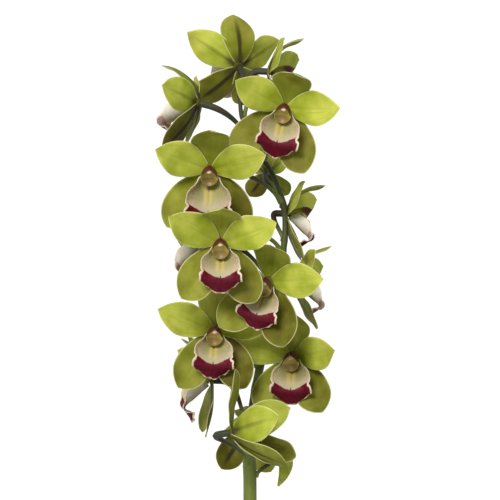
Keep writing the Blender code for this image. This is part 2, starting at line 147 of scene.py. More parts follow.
class Wire:
    """An output socket of a graph. Arithmetic on it adds Math nodes."""

    def __init__(self, graph: Graph, socket: bpy.types.NodeSocket) -> None:
        """Wraps a socket of a graph."""
        self.graph = graph
        self.socket = socket

    def _maths(self, operation: str, *values: Wire | float) -> Wire:
        """A Math node of the given operation on up to three values."""
        return self.graph.node(
            "ShaderNodeMath", {"operation": operation}, dict(enumerate(values)))

    def __add__(self, other: Wire | float) -> Wire:
        """self + other."""
        return self._maths("ADD", self, other)

    __radd__ = __add__

    def __sub__(self, other: Wire | float) -> Wire:
        """self - other."""
        return self._maths("SUBTRACT", self, other)

    def __rsub__(self, other: float) -> Wire:
        """other - self."""
        return self._maths("SUBTRACT", other, self)

    def __mul__(self, other: Wire | float) -> Wire:
        """self * other."""
        return self._maths("MULTIPLY", self, other)

    __rmul__ = __mul__

    def __pow__(self, other: Wire | float) -> Wire:
        """self to the power of other."""
        return self._maths("POWER", self, other)

    def __abs__(self) -> Wire:
        """The distance from 0."""
        return self._maths("ABSOLUTE", self)

    def at_least(self, other: Wire | float) -> Wire:
        """The larger of the two."""
        return self._maths("MAXIMUM", self, other)

    def at_most(self, other: Wire | float) -> Wire:
        """The smaller of the two."""
        return self._maths("MINIMUM", self, other)

    def sine(self) -> Wire:
        """The sine of an angle in radians."""
        return self._maths("SINE", self)

    def step(self, low: float, high: float) -> Wire:
        """A soft step.

        Args:
            low: where it is 0, which may be the larger.
            high: where it is 1.

        Returns:
            A number from 0 to 1.
        """
        flip = low > high
        settings = {"interpolation_type": "SMOOTHSTEP", "clamp": True}
        sockets = {"Value": self, "From Min": min(low, high), "From Max": max(low, high),
                   "To Min": 1.0 if flip else 0.0, "To Max": 0.0 if flip else 1.0}
        return self.graph.node("ShaderNodeMapRange", settings, sockets)


class Graph:
    """Builds the nodes of a material, a world or a geometry tree."""

    def __init__(self, tree: bpy.types.NodeTree) -> None:
        """Starts on a tree."""
        self.tree = tree

    def node(self, kind: str, settings: dict[str, Any] | None = None,
             sockets: dict[str | int, Any] | None = None, output: str | int = 0) -> Wire:
        """Adds a node.

        Args:
            kind: the node's type.
            settings: its properties, set before its sockets.
            sockets: values or wires by the input's name or number.
            output: the output that is wanted.

        Returns:
            That output.
        """
        made = self.tree.nodes.new(kind)
        for name, value in (settings or {}).items():
            setattr(made, name, value)
        for key, value in (sockets or {}).items():
            self.feed(made.inputs[key], value)
        return Wire(self, made.outputs[output])

    def feed(self, socket: bpy.types.NodeSocket, value: Any) -> None:
        """Links a wire to an input, or sets the input's value."""
        if isinstance(value, Wire):
            self.tree.links.new(value.socket, socket)
        else:
            socket.default_value = value


class MaterialGraph(Graph):
    """Builds one material round its Principled shader."""

    def __init__(self, name: str) -> None:
        """Starts a material with a bare Principled shader."""
        self.material = bpy.data.materials.new(name)
        self.material.use_nodes = True
        super().__init__(self.material.node_tree)
        self.shader = self.tree.nodes["Principled BSDF"]
        self.exit = self.tree.nodes["Material Output"]

    def object_place(self) -> Wire:
        """The point's place in metres."""
        return self.node("ShaderNodeTexCoord", output="Object")

    def attribute(self, name: str) -> Wire:
        """A number stored at the mesh's points."""
        return self.node("ShaderNodeAttribute", {"attribute_name": name}, output="Fac")

    def across_along(self) -> tuple[Wire, Wire]:
        """How far across and along its piece a point lies, each from 0 to 1."""
        spread = self.node("ShaderNodeUVMap", {"uv_map": "spread"})
        return self.parts(spread)[:2]

    def parts(self, vector: Wire) -> tuple[Wire, Wire, Wire]:
        """X, Y and Z of a vector."""
        outputs = self.node("ShaderNodeSeparateXYZ", sockets={0: vector}).socket.node.outputs
        return Wire(self, outputs[0]), Wire(self, outputs[1]), Wire(self, outputs[2])

    def vector(self, x: Wire | float, y: Wire | float, z: Wire | float = 0.0) -> Wire:
        """A vector of three numbers."""
        return self.node("ShaderNodeCombineXYZ", sockets={0: x, 1: y, 2: z})

    def noise(self, place: Wire, scale: float, detail: float = 3.0, roughness: float = 0.5) -> Wire:
        """Soft noise from 0 to 1."""
        return self.node("ShaderNodeTexNoise", sockets={
            "Vector": place, "Scale": scale, "Detail": detail, "Roughness": roughness})

    def cells(self, place: Wire, scale: float) -> Wire:
        """The distance to the nearest of scattered points."""
        return self.node("ShaderNodeTexVoronoi", sockets={"Vector": place, "Scale": scale})

    def mix(self, share: Wire | float, a: Colour | Wire, b: Colour | Wire) -> Wire:
        """A colour that goes from a to b as share goes from 0 to 1."""
        ends = {key: value if isinstance(value, Wire) else (*value, 1) for key, value in ((6, a), (7, b))}
        return self.node("ShaderNodeMix", {"data_type": "RGBA", "clamp_factor": True},
                         {0: share, **ends}, output=2)

    def bump(self, height: Wire, depth: float, strength: float = 1.0) -> Wire:
        """A normal that height raises by up to depth metres."""
        return self.node("ShaderNodeBump", sockets={
            "Strength": strength, "Distance": depth, "Height": height})

    def dress(self, colour: Wire, roughness: Wire | float, normal: Wire | None = None,
              **constants: Any) -> bpy.types.Material:
        """Feeds the shader.

        Args:
            colour: the base colour.
            roughness: the roughness.
            normal: the bumped normal, if it has one.
            constants: other sockets of the shader, with _ for a space, set as they are.

        Returns:
            The finished material.
        """
        self.feed(self.shader.inputs["Base Color"], colour)
        self.feed(self.shader.inputs["Roughness"], roughness)
        if normal is not None:
            self.feed(self.shader.inputs["Normal"], normal)
        for name, value in constants.items():
            self.shader.inputs[name.replace("_", " ")].default_value = value
        return self.material

    def let_light_through(self, colour: Wire, share: float, normal: Wire | None = None) -> None:
        """Mixes in light that comes through a thin petal or leaf from behind.

        Args:
            colour: the colour that the light takes.
            share: how much of the surface it is.
            normal: the bumped normal, if it has one.
        """
        sockets = {"Color": colour} if normal is None else {"Color": colour, "Normal": normal}
        through = self.node("ShaderNodeBsdfTranslucent", sockets=sockets)
        front = Wire(self, self.shader.outputs[0])
        both = self.node("ShaderNodeMixShader", sockets={0: share, 1: front, 2: through})
        self.feed(self.exit.inputs["Surface"], both)


# ---- Finishes ----


@dataclass(frozen=True)
class TepalFinish:
    """Waxy yellow-green sepals and petals: fine veins, pale edges, a dark keel on the back, and painted shade
    that darkens some towards olive.
    """

    fresh: Colour = (0.640, 0.670, 0.110)
    deep: Colour = (0.310, 0.385, 0.008)
    vein: Colour = (0.300, 0.370, 0.025)
    edge: Colour = (0.860, 0.840, 0.460)
    # olive is painted shade: the dark colour given to tepals that sit in shade, most of all the right lower
    # sepal.
    olive: Colour = (0.118, 0.108, 0.006)
    blush: Colour = (0.250, 0.160, 0.050)
    keel: Colour = (0.040, 0.022, 0.020)
    through: float = 0.36

    def material(self) -> bpy.types.Material:
        """Builds the finish.

        Returns:
            The material, which reads the spread UV map and the attributes edge_mm, back and tone; tone is how
            much painted shade darkens a tepal towards olive.
        """
        g = MaterialGraph("tepal_green")
        across, along = g.across_along()
        place = g.object_place()
        back, tone, edge_mm = (g.attribute(name) for name in ("back", "tone", "edge_mm"))
        middle = abs(across - 0.5) * 2.0
        veins = g.noise(g.vector(across * 34.0, along * 1.6, tone * 9.0), 1.0, 2.0)
        clouds = g.noise(place, 55.0, 3.0)
        colour = g.mix((clouds - 0.40) * 2.0 + (0.60 - along * 0.9).at_least(0.0), self.fresh, self.deep)
        colour = g.mix(veins.step(0.50, 0.72) * 0.34, colour, self.vein)
        rib = middle.step(0.08, 0.0) * along.step(0.95, 0.25)
        colour = g.mix(rib * (0.25 + 0.3 * back), colour, self.vein)
        # Painted shade: each tepal darkens towards olive by its tone, mottled by the clouds; tone also
        # strengthens the brown blush and the dark keel on the back.
        colour = g.mix(tone * (0.62 + 0.7 * clouds), colour, self.olive)
        blushing = g.noise(place, 30.0, 2.0).step(0.45, 0.8) * (0.10 + 0.30 * back + 0.25 * tone)
        colour = g.mix(blushing, colour, self.blush)
        foot = along.step(0.30, 0.02) * (0.35 + 0.65 * middle.step(0.9, 0.1))
        keel = (middle.step(0.20, 0.06) * along.step(1.0, 0.45) * (0.20 + 1.5 * tone) + foot).at_most(1.0)
        colour = g.mix(keel * back * 0.85, colour, self.keel)
        pale = edge_mm.step(1.10, 0.30) * 0.58
        colour = g.mix(pale, colour, self.edge)
        colour = g.mix(along.step(0.965, 1.0) * 0.5, colour, self.vein)
        height = veins * 0.5 + g.noise(place, 900.0, 2.0) * 0.25 - rib * 0.6
        normal = g.bump(height, 0.0004, 0.5)
        g.dress(colour, 0.50 + 0.16 * clouds, normal, Specular_IOR_Level=0.12)
        g.let_light_through(colour, self.through, normal)
        return g.material


@dataclass(frozen=True)
class LipFinish:
    """A cream throat with pink flecks and yellow keels, and a maroon band in a pale frill."""

    cream: Colour = (0.352, 0.322, 0.150)
    green: Colour = (0.380, 0.360, 0.085)
    pink: Colour = (0.680, 0.480, 0.370)
    fleck: Colour = (0.300, 0.060, 0.060)
    maroon: Colour = (0.158, 0.002, 0.016)
    deep: Colour = (0.062, 0.002, 0.011)
    yellow: Colour = (0.660, 0.500, 0.120)
    frill: Colour = (0.860, 0.720, 0.560)
    outside: Colour = (0.930, 0.890, 0.780)
    blush: Colour = (0.800, 0.560, 0.520)
    stain: Colour = (0.330, 0.060, 0.080)
    band: float = 0.64
    rise: float = 0.14
    through: float = 0.30

    def material(self) -> bpy.types.Material:
        """Builds the finish.

        Returns:
            The material, which reads the spread UV map and the attributes edge_mm, back and keel.
        """
        g = MaterialGraph("lip_cream_and_red")
        across, along = g.across_along()
        place = g.object_place()
        back, edge_mm, keel = (g.attribute(name) for name in ("back", "edge_mm", "keel"))
        side = abs(across - 0.5) * 2.0
        ragged = g.noise(g.vector(across * 22.0, along * 9.0), 1.0, 3.0) - 0.5
        grain = g.noise(place, 420.0, 3.0)
        line = self.band - self.rise * side ** 1.2 + ragged * 0.035
        band = (along - line).step(-0.008, 0.010)
        # Partly the throat's own colour, partly painted shade: darker and greener towards the foot under the
        # column, lighter towards the fold.
        throat = g.mix(along.step(0.50, 0.10) * 0.75, self.cream, self.green)
        throat = g.mix(along.step(0.30, 0.58) * 0.30, throat, self.frill)
        throat = g.mix(side.step(0.30, 0.90) * grain.step(0.30, 0.7) * 0.8, throat, self.pink)
        flecks = g.noise(g.vector(across * 46.0, along * 20.0), 1.0, 1.0).step(0.66, 0.72)
        throat = g.mix(flecks * side.step(0.35, 0.7) * 0.45, throat, self.fleck)
        throat = g.mix(keel * 0.75, throat, self.yellow)
        tick = side.step(0.05, 0.02) * along.step(self.band - 0.06, self.band - 0.03)
        streaks = g.noise(g.vector(across * 60.0, along * 5.0), 1.0, 2.0)
        red = g.mix(streaks.step(0.35, 0.75), self.maroon, self.deep)
        rim = (edge_mm + ragged * 1.9).step(1.9, 1.1)
        colour = g.mix((band + tick * 0.8).at_most(1.0) * (1 - rim), throat, red)
        colour = g.mix(rim * (0.20 + 0.65 * along.step(0.42, 0.58)), colour, self.frill)
        behind = g.mix(grain.step(0.35, 0.75) * along.step(0.15, 0.5) * 0.5, self.outside, self.blush)
        behind = g.mix(band * 0.55 * (1 - rim), behind, self.stain)
        colour = g.mix(back, colour, behind)
        normal = g.bump(streaks * 0.5 + grain * 0.5, 0.0004, 0.45)
        g.dress(colour, 0.48 + 0.12 * grain, normal, Specular_IOR_Level=0.20)
        g.let_light_through(colour, self.through, normal)
        return g.material


@dataclass(frozen=True)
class ColumnFinish:
    """The column: green outside, a maroon hood, an olive hollow and a cream anther cap."""

    green: Colour = (0.380, 0.350, 0.080)
    maroon: Colour = (0.072, 0.009, 0.010)
    hollow: Colour = (0.330, 0.265, 0.040)
    brown: Colour = (0.200, 0.130, 0.030)
    cap: Colour = (0.560, 0.360, 0.250)

    def material(self) -> bpy.types.Material:
        """Builds the finish.

        Returns:
            The material, which reads the attributes hood, face, low and cap.
        """
        g = MaterialGraph("column")
        place = g.object_place()
        hood, face, low, cap = (g.attribute(name) for name in ("hood", "face", "low", "cap"))
        speckle = g.noise(place, 1300.0, 2.0)
        colour = g.mix(speckle.step(0.55, 0.7) * 0.35, self.green, self.maroon)
        hollow = g.mix((low + (speckle - 0.5) * 0.9).step(0.45, 0.85), self.hollow, self.brown)
        colour = g.mix(low * 0.8, colour, self.brown)
        colour = g.mix(face, colour, hollow)
        colour = g.mix((hood + (speckle - 0.5) * 0.5).step(0.30, 0.62), colour, self.maroon)
        colour = g.mix(cap, colour, self.cap)
        normal = g.bump(speckle, 0.0002, 0.4)
        return g.dress(colour, 0.38 + 0.15 * speckle, normal, Subsurface_Weight=0.15,
                       Subsurface_Radius=(0.003, 0.002, 0.001), Subsurface_Scale=0.5)


@dataclass(frozen=True)
class StalkFinish:
    """Smooth green stalks, ribbed with fine lines, that darken towards the flowers."""

    name: str = "stem_green"
    green: Colour = (0.135, 0.165, 0.024)
    lower: Colour = (0.100, 0.128, 0.020)
    dark: Colour = (0.017, 0.020, 0.008)
    purple: Colour = (0.030, 0.018, 0.016)
    darkens: tuple[float, float] = (0.44, 0.76)
    by_height: bool = True

    def material(self) -> bpy.types.Material:
        """Builds the finish.

        Returns:
            The material, which reads the attribute along where it doesn't darken by height.
        """
        g = MaterialGraph(self.name)
        place = g.object_place()
        x, y, z = g.parts(place)
        measure = z if self.by_height else g.attribute("along")
        grain = g.noise(g.vector(x, y, z * 0.06), 900.0, 3.0)
        clouds = g.noise(place, 70.0, 3.0)
        young = (measure + (clouds - 0.5) * 0.08 * (self.darkens[1] - self.darkens[0])).step(*self.darkens)
        colour = g.mix(clouds.step(0.3, 0.7), self.green, self.lower)
        dark = g.mix(clouds.step(0.35, 0.65), self.dark, self.purple)
        colour = g.mix(young * 0.92, colour, dark)
        colour = g.mix(grain.step(0.55, 0.8) * 0.25, colour, self.lower)
        normal = g.bump(grain, 0.0003, 0.4)
        return g.dress(colour, 0.46 + 0.2 * grain, normal, Specular_IOR_Level=0.3)


@dataclass(frozen=True)
class LeafFinish:
    """Glossy strap leaves with parallel veins, a pale keel and a yellowing foot."""

    green: Colour = (0.055, 0.150, 0.022)
    light: Colour = (0.110, 0.235, 0.035)
    under: Colour = (0.120, 0.200, 0.065)
    foot: Colour = (0.280, 0.340, 0.110)
    tip: Colour = (0.250, 0.180, 0.060)

    def material(self) -> bpy.types.Material:
        """Builds the finish.

        Returns:
            The material, which reads the spread UV map and the attributes back, edge_mm and tone.
        """
        g = MaterialGraph("leaf_green")
        across, along = g.across_along()
        place = g.object_place()
        back, tone, edge_mm = (g.attribute(name) for name in ("back", "tone", "edge_mm"))
        veins = g.noise(g.vector(across * 42.0, along * 2.0, tone * 11.0), 1.0, 2.0)
        clouds = g.noise(place, 22.0, 3.0)
        colour = g.mix(clouds.step(0.3, 0.75) * 0.7 + tone * 0.3, self.green, self.light)
        colour = g.mix(veins.step(0.45, 0.7) * 0.35, colour, self.light)
        colour = g.mix(back * 0.7, colour, self.under)
        rib = (abs(across - 0.5) * 2.0).step(0.09, 0.03)
        colour = g.mix(rib * 0.55, colour, self.foot)
        colour = g.mix(along.step(0.16, 0.0) * 0.85, colour, self.foot)
        colour = g.mix(along.step(0.972, 0.995), colour, self.tip)
        colour = g.mix(edge_mm.step(0.7, 0.2) * 0.4, colour, self.foot)
        normal = g.bump(veins - rib * 0.4, 0.0005, 0.5)
        g.dress(colour, 0.30 + 0.16 * clouds, normal, Coat_Weight=0.15, Coat_Roughness=0.25)
        g.let_light_through(colour, 0.22, normal)
        return g.material


@dataclass(frozen=True)
class BulbFinish:
    """Ribbed green pseudobulbs with leaf scars and a dry, straw-coloured foot."""

    green: Colour = (0.170, 0.260, 0.055)
    yellow: Colour = (0.330, 0.340, 0.100)
    straw: Colour = (0.420, 0.310, 0.150)
    scar: Colour = (0.110, 0.080, 0.040)

    def material(self) -> bpy.types.Material:
        """Builds the finish.

        Returns:
            The material, which reads the attribute height.
        """
        g = MaterialGraph("pseudobulb_green")
        place = g.object_place()
        x, y, z = g.parts(place)
        height = g.attribute("height")
        fibres = g.noise(g.vector(x, y, z * 0.05), 700.0, 3.0)
        clouds = g.noise(place, 60.0, 3.0)
        colour = g.mix(clouds.step(0.35, 0.7), self.green, self.yellow)
        colour = g.mix(fibres.step(0.5, 0.7) * 0.35, colour, self.yellow)
        dry = (0.42 - height + (clouds - 0.5) * 0.5).step(0.0, 0.12)
        colour = g.mix(dry, colour, g.mix(fibres, self.straw, self.scar))
        scars = ((height * 4.0 * math.tau).sine() + (clouds - 0.5) * 0.6).step(0.93, 0.99)
        colour = g.mix(scars * 0.7, colour, self.scar)
        normal = g.bump(fibres - scars * 0.5, 0.0008, 0.6)
        return g.dress(colour, 0.42 + 0.3 * dry, normal)


@dataclass(frozen=True)
class BractFinish:
    """Dry, papery bracts: straw with brown fibres, greener at the foot."""

    straw: Colour = (0.520, 0.420, 0.220)
    brown: Colour = (0.240, 0.150, 0.070)
    green: Colour = (0.200, 0.260, 0.080)

    def material(self) -> bpy.types.Material:
        """Builds the finish.

        Returns:
            The material, which reads the spread UV map.
        """
        g = MaterialGraph("bract_tan")
        across, along = g.across_along()
        fibres = g.noise(g.vector(across * 40.0, along * 2.5), 1.0, 3.0)
        colour = g.mix(along.step(0.7, 0.0) * 0.7, self.straw, self.green)
        colour = g.mix(fibres.step(0.45, 0.7) * 0.6, colour, self.brown)
        colour = g.mix(along.step(0.88, 1.0) * 0.7, colour, self.brown)
        normal = g.bump(fibres, 0.0006, 0.6)
        g.dress(colour, 0.62 + 0.2 * fibres, normal)
        g.let_light_through(colour, 0.25, normal)
        return g.material


@dataclass(frozen=True)
class BarkFinish:
    """Coarse orchid bark, from pale tan to nearly black, each chip its own shade."""

    tan: Colour = (0.300, 0.150, 0.065)
    brown: Colour = (0.130, 0.058, 0.028)
    black: Colour = (0.030, 0.018, 0.012)

    def material(self) -> bpy.types.Material:
        """Builds the finish.

        Returns:
            The material, which reads the attribute shade.
        """
        g = MaterialGraph("bark")
        place = g.object_place()
        shade = g.attribute("shade")
        layers = g.noise(place, 260.0, 5.0, 0.65)
        clefts = g.cells(place, 420.0)
        colour = g.mix((shade * 0.8 + layers * 0.5 - 0.15), self.brown, self.tan)
        colour = g.mix(clefts.step(0.30, 0.05) * 0.7 + layers.step(0.5, 0.3) * 0.4, colour, self.black)
        normal = g.bump(layers + clefts * 0.5, 0.0015, 0.9)
        return g.dress(colour, 0.78 + 0.18 * layers, normal)


@dataclass(frozen=True)
class CeramicFinish:
    """A warm white matt glaze with iron specks, thin over the edges, on a bare clay foot."""

    glaze: Colour = (0.640, 0.620, 0.570)
    shade: Colour = (0.540, 0.515, 0.460)
    speck: Colour = (0.160, 0.110, 0.070)
    clay: Colour = (0.480, 0.330, 0.220)
    foot_height: float = 0.0035
    rim_height: float = POT_HEIGHT * MM

    def material(self) -> bpy.types.Material:
        """Builds the finish.

        Returns:
            The material.
        """
        g = MaterialGraph("pot_ceramic")
        place = g.object_place()
        x, y, z = g.parts(place)
        clouds = g.noise(place, 18.0, 4.0)
        rings = g.noise(g.vector(x * 0.03, y * 0.03, z), 240.0, 2.0)
        specks = g.cells(place, 190.0).step(0.17, 0.08) * g.noise(place, 90.0, 1.0).step(0.45, 0.6)
        colour = g.mix(clouds.step(0.3, 0.7), self.glaze, self.shade)
        colour = g.mix(specks * 0.75, colour, self.speck)
        thin = (z + (clouds - 0.5) * 0.002).step(self.rim_height - 0.0022, self.rim_height - 0.0002)
        bare = (z + (clouds - 0.5) * 0.003).step(self.foot_height + 0.0012, self.foot_height)
        colour = g.mix(thin * 0.55 + bare, colour, self.clay)
        normal = g.bump(rings * 0.7 + specks * 0.2 + g.noise(place, 600.0, 2.0) * 0.12, 0.0006, 0.5)
        gloss = 0.34 + 0.12 * clouds + 0.45 * bare
        return g.dress(colour, gloss, normal)


@dataclass(frozen=True)
class FloorFinish:
    """A plain pale floor with the faintest unevenness."""

    pale: Colour = (0.82, 0.82, 0.82)
    worn: Colour = (0.78, 0.78, 0.79)

    def material(self) -> bpy.types.Material:
        """Builds the finish.

        Returns:
            The material.
        """
        g = MaterialGraph("floor")
        clouds = g.noise(g.object_place(), 3.0, 4.0)
        return g.dress(g.mix(clouds, self.pale, self.worn), 0.55 + 0.1 * clouds)


class Wardrobe:
    """One material of each finish, shared by all the pieces that wear it."""

    def __init__(self) -> None:
        """Builds every finish once."""
        self.tepal = TepalFinish().material()
        self.lip = LipFinish().material()
        self.column = ColumnFinish().material()
        self.stem = StalkFinish().material()
        self.pedicel = StalkFinish("pedicel_green", darkens=(0.0, 0.55), by_height=False).material()
        self.leaf = LeafFinish().material()
        self.bulb = BulbFinish().material()
        self.bract = BractFinish().material()
        self.bark = BarkFinish().material()
        self.ceramic = CeramicFinish().material()
        self.floor = FloorFinish().material()


class Slot(Enum):
    """The record's material slots."""

    CERAMIC = "pot_ceramic"
    BARK = "bark"
    BULB = "pseudobulb_green"
    LEAF = "leaf_green"
    STEM = "stem_green"
    TEPAL = "tepal_green"
    LIP = "lip_cream_and_red"
    BRACT = "bract_tan"


# ---- Meshes ----

Surface = Callable[[float, float], Vector]


class Shell:
    """Collects closed skins, with numbers at their points, and makes one mesh of them."""

    def __init__(self, *names: str) -> None:
        """Starts empty; names are the attributes that every point carries."""
        self.points: list[Vector] = []
        self.faces: list[tuple[int, ...]] = []
        self.spreads: list[list[tuple[float, float]]] = []
        self.values: dict[str, list[float]] = {name: [] for name in names}

    def _add(self, place: Vector, values: dict[str, float]) -> int:
        """Adds a point.

        Args:
            place: where it is.
            values: the numbers that it carries.

        Returns:
            Its number.
        """
        self.points.append(place)
        for name, stored in self.values.items():
            stored.append(values.get(name, 0.0))
        return len(self.points) - 1

    def _face(self, corners: Sequence[int], spread: Sequence[tuple[float, float]]) -> None:
        """Adds a face with its corners' places across and along."""
        self.faces.append(tuple(corners))
        self.spreads.append(list(spread))

    def sheet(self, surface: Surface, rows: int, columns: int,
              thickness: Callable[[float, float], float],
              half_width: Callable[[float], float], length: float, place: Matrix,
              marks: Callable[[float, float], dict[str, float]] | None = None) -> None:
        """Adds a thin closed solid: a front, a back and a strip round its edge.

        Args:
            surface: the middle surface at (across from -1 to 1, along from 0 to 1), in millimetres.
            rows: steps along it.
            columns: steps across it.
            thickness: its thickness at a point, in millimetres.
            half_width: half its width along it, for the distance to its edge.
            length: its length, for the same.
            place: where it goes, from millimetres to the row frame.
            marks: other numbers to store at a point.
        """
        us = [math.sin(math.pi / 2 * (2 * c / columns - 1) * 0.8) / math.sin(math.pi * 0.4)
              for c in range(columns + 1)]
        vs = [1 - (1 - r / rows) ** 1.15 for r in range(rows + 1)]
        grid = np.array([[surface(u, v) for u in us] for v in vs])
        normals = np.cross(np.gradient(grid, axis=1), np.gradient(grid, axis=0))
        normals /= np.maximum(1e-9, np.linalg.norm(normals, axis=2, keepdims=True))
        edge = self._edge_distance(us, vs, half_width, length)
        numbers: list[list[list[int]]] = []
        for side in (1, -1):
            numbers.append([])
            for r, v in enumerate(vs):
                line = []
                for c, u in enumerate(us):
                    deep = thickness(u, v) * min(1.0, 0.45 + edge[r, c] * 0.5)
                    spot = Vector(grid[r, c] + normals[r, c] * side * deep / 2)
                    stored = dict(marks(u, v)) if marks else {}
                    stored.update(edge_mm=float(edge[r, c]), back=0.0 if side > 0 else 1.0)
                    line.append(self._add(place @ spot, stored))
                numbers[-1].append(line)
        spread = [[((u + 1) / 2, v) for u in us] for v in vs]
        for layer, front in zip(numbers, (True, False)):
            for r in range(rows):
                for c in range(columns):
                    around = [(r, c), (r, c + 1), (r + 1, c + 1), (r + 1, c)]
                    around = around if front else around[::-1]
                    self._face([layer[i][j] for i, j in around], [spread[i][j] for i, j in around])
        rim = [(0, c) for c in range(columns)] + [(r, columns) for r in range(rows)]
        rim += [(rows, c) for c in range(columns, 0, -1)] + [(r, 0) for r in range(rows, 0, -1)]
        for (i, j), (k, m) in zip(rim, rim[1:] + rim[:1]):
            corners = [numbers[0][k][m], numbers[0][i][j], numbers[1][i][j], numbers[1][k][m]]
            self._face(corners, [spread[k][m], spread[i][j], spread[i][j], spread[k][m]])

    @staticmethod
    def _edge_distance(us: Sequence[float], vs: Sequence[float],
                       half_width: Callable[[float], float], length: float) -> np.ndarray:
        """How far each point of a sheet, laid flat, is from its edge.

        Args:
            us: its places across, from -1 to 1.
            vs: its places along, from 0 to 1.
            half_width: half its width at a place along.
            length: its length.

        Returns:
            Millimetres, by row and column; the foot doesn't count as an edge.
        """
        halves = np.array([half_width(v) for v in vs])
        flat = np.stack([np.outer(halves, us), np.outer(np.array(vs) * length, np.ones(len(us)))], axis=2)
        fine = np.linspace(0, 1, 160)
        wide = np.array([half_width(v) for v in fine])
        rim = np.concatenate([np.stack([wide, fine * length], 1), np.stack([-wide, fine * length], 1)])
        gaps = np.linalg.norm(flat[:, :, None, :] - rim[None, None, :, :], axis=3)
        return gaps.min(axis=2)

    def loft(self, rings: Sequence[Sequence[Vector]], place: Matrix,
             marks: Sequence[Sequence[dict[str, float]]] | None = None) -> None:
        """Adds a closed skin through rings of points, drawn together to a point at each end.

        Args:
            rings: loops with the same number of points each.
            place: where it goes, from millimetres to the row frame.
            marks: numbers to store at each point.
        """
        count = len(rings[0])
        numbers = []
        for r, ring in enumerate(rings):
            stored = marks[r] if marks else [{}] * count
            numbers.append([self._add(place @ point, mark) for point, mark in zip(ring, stored)])
        last = len(rings) - 1
        for r in range(last):
            for c in range(count):
                d = (c + 1) % count
                corners = [numbers[r][c], numbers[r][d], numbers[r + 1][d], numbers[r + 1][c]]
                low, high, left, right = r / last, (r + 1) / last, c / count, (c + 1) / count
                self._face(corners, [(left, low), (right, low), (right, high), (left, high)])
        for r, share in ((0, 0.0), (last, 1.0)):
            centre = sum(rings[r], Vector()) / count
            stored = dict(marks[r][0]) if marks else {}
            pole = self._add(place @ centre, stored)
            for c in range(count):
                d = (c + 1) % count
                corners = [numbers[r][c], numbers[r][d], pole] if r else [numbers[r][d], numbers[r][c], pole]
                self._face(corners, [(c / count, share), (d / count, share), (0.5, share)])

    def piece(self, name: str, finish: bpy.types.Material) -> bpy.types.Object:
        """Makes the collected skins an object at the origin, faces outwards.

        Args:
            name: the object's name.
            finish: its material.

        Returns:
            The object, in the scene.
        """
        mesh = bpy.data.meshes.new(name)
        mesh.from_pydata(self.points, [], self.faces)
        layer = mesh.uv_layers.new(name="spread")
        flat = [number for spread in self.spreads for pair in spread for number in pair]
        layer.data.foreach_set("uv", flat)
        for key, numbers in self.values.items():
            stored = mesh.attributes.new(key, "FLOAT", "POINT")
            stored.data.foreach_set("value", numbers)
        face_outwards(mesh)
        mesh.materials.append(finish)
        mesh.shade_smooth()
        return put(name, mesh)


def put(name: str, data: bpy.types.ID) -> bpy.types.Object:
    """Makes an object and puts it in the scene.

    Args:
        name: its name.
        data: its mesh, curve, light or camera.

    Returns:
        The object.
    """
    made = bpy.data.objects.new(name, data)
    bpy.context.scene.collection.objects.link(made)
    return made


def settle(name: str, bm: bmesh.types.BMesh) -> bpy.types.Mesh:
    """Makes a plain mesh of an edited one, which it frees.

    Args:
        name: the plain mesh's name.
        bm: the edited mesh.

    Returns:
        The plain mesh.
    """
    mesh = bpy.data.meshes.new(name)
    bm.to_mesh(mesh)
    bm.free()
    return mesh


def face_outwards(mesh: bpy.types.Mesh) -> None:
    """Turns the faces of each closed skin of a mesh to its outside.

    Args:
        mesh: the mesh.
    """
    bm = bmesh.new()
    bm.from_mesh(mesh)
    bmesh.ops.recalc_face_normals(bm, faces=bm.faces)
    bm.to_mesh(mesh)
    bm.free()


def stand_for(piece: bpy.types.Object, slot: Slot, *nodes: str) -> None:
    """Puts a finished piece on the root body in place of CAD nodes.

    Args:
        piece: the finished piece.
        slot: the record's slot for its finish; it is not used.
        nodes: the CAD nodes that it replaces.
    """
    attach(piece, ROOT)
    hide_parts(*nodes)
    log.info("%s: %d faces, for %s", piece.name, len(piece.data.polygons), ", ".join(nodes))


class GrowthTree(Graph):
    """A geometry tree with named inputs, run once on an object and baked into a plain mesh."""

    def __init__(self, name: str) -> None:
        """Starts a tree with a geometry input and output."""
        super().__init__(bpy.data.node_groups.new(name, "GeometryNodeTree"))
        self.numbers: dict[str, str] = {}
        self.tree.interface.new_socket("Geometry", in_out="INPUT", socket_type="NodeSocketGeometry")
        self.tree.interface.new_socket("Geometry", in_out="OUTPUT", socket_type="NodeSocketGeometry")
        self.entry = self.tree.nodes.new("NodeGroupInput")
        self.way_out = self.tree.nodes.new("NodeGroupOutput")
        self.source = Wire(self, self.entry.outputs[0])

    def size(self, name: str, kind: str = "Float") -> Wire:
        """Adds a named input to the tree.

        Args:
            name: its name.
            kind: what it holds.

        Returns:
            Its value.
        """
        made = self.tree.interface.new_socket(name, in_out="INPUT", socket_type=f"NodeSocket{kind}")
        self.numbers[name] = made.identifier
        return Wire(self, self.entry.outputs[name])

    def close(self, grown: Wire, finish: Wire) -> None:
        """Ends the tree in Realize Instances, Set Material and its output.

        Args:
            grown: what the tree has made.
            finish: its material.
        """
        real = self.node("GeometryNodeRealizeInstances", sockets={0: grown})
        dressed = self.node("GeometryNodeSetMaterial", sockets={"Geometry": real, "Material": finish})
        self.feed(self.way_out.inputs[0], dressed)

    def grow(self, source: bpy.types.Object, name: str, **sizes: Any) -> bpy.types.Object:
        """Runs the tree on an object and bakes the result.

        Args:
            source: the object that it starts from, which is removed afterwards.
            name: the name of the baked piece.
            sizes: values of the tree's named inputs, with _ for a space.

        Returns:
            The baked mesh as an object at the origin.
        """
        modifier = source.modifiers.new("growth", "NODES")
        modifier.node_group = self.tree
        for key, value in sizes.items():
            modifier[self.numbers[key.replace("_", " ")]] = value
        seen = source.evaluated_get(bpy.context.evaluated_depsgraph_get())
        mesh = bpy.data.meshes.new_from_object(seen)
        source.modifiers.remove(modifier)
        made = put(name, mesh)
        mesh.name = name
        bpy.data.objects.remove(source, do_unlink=True)
        face_outwards(mesh)
        return made


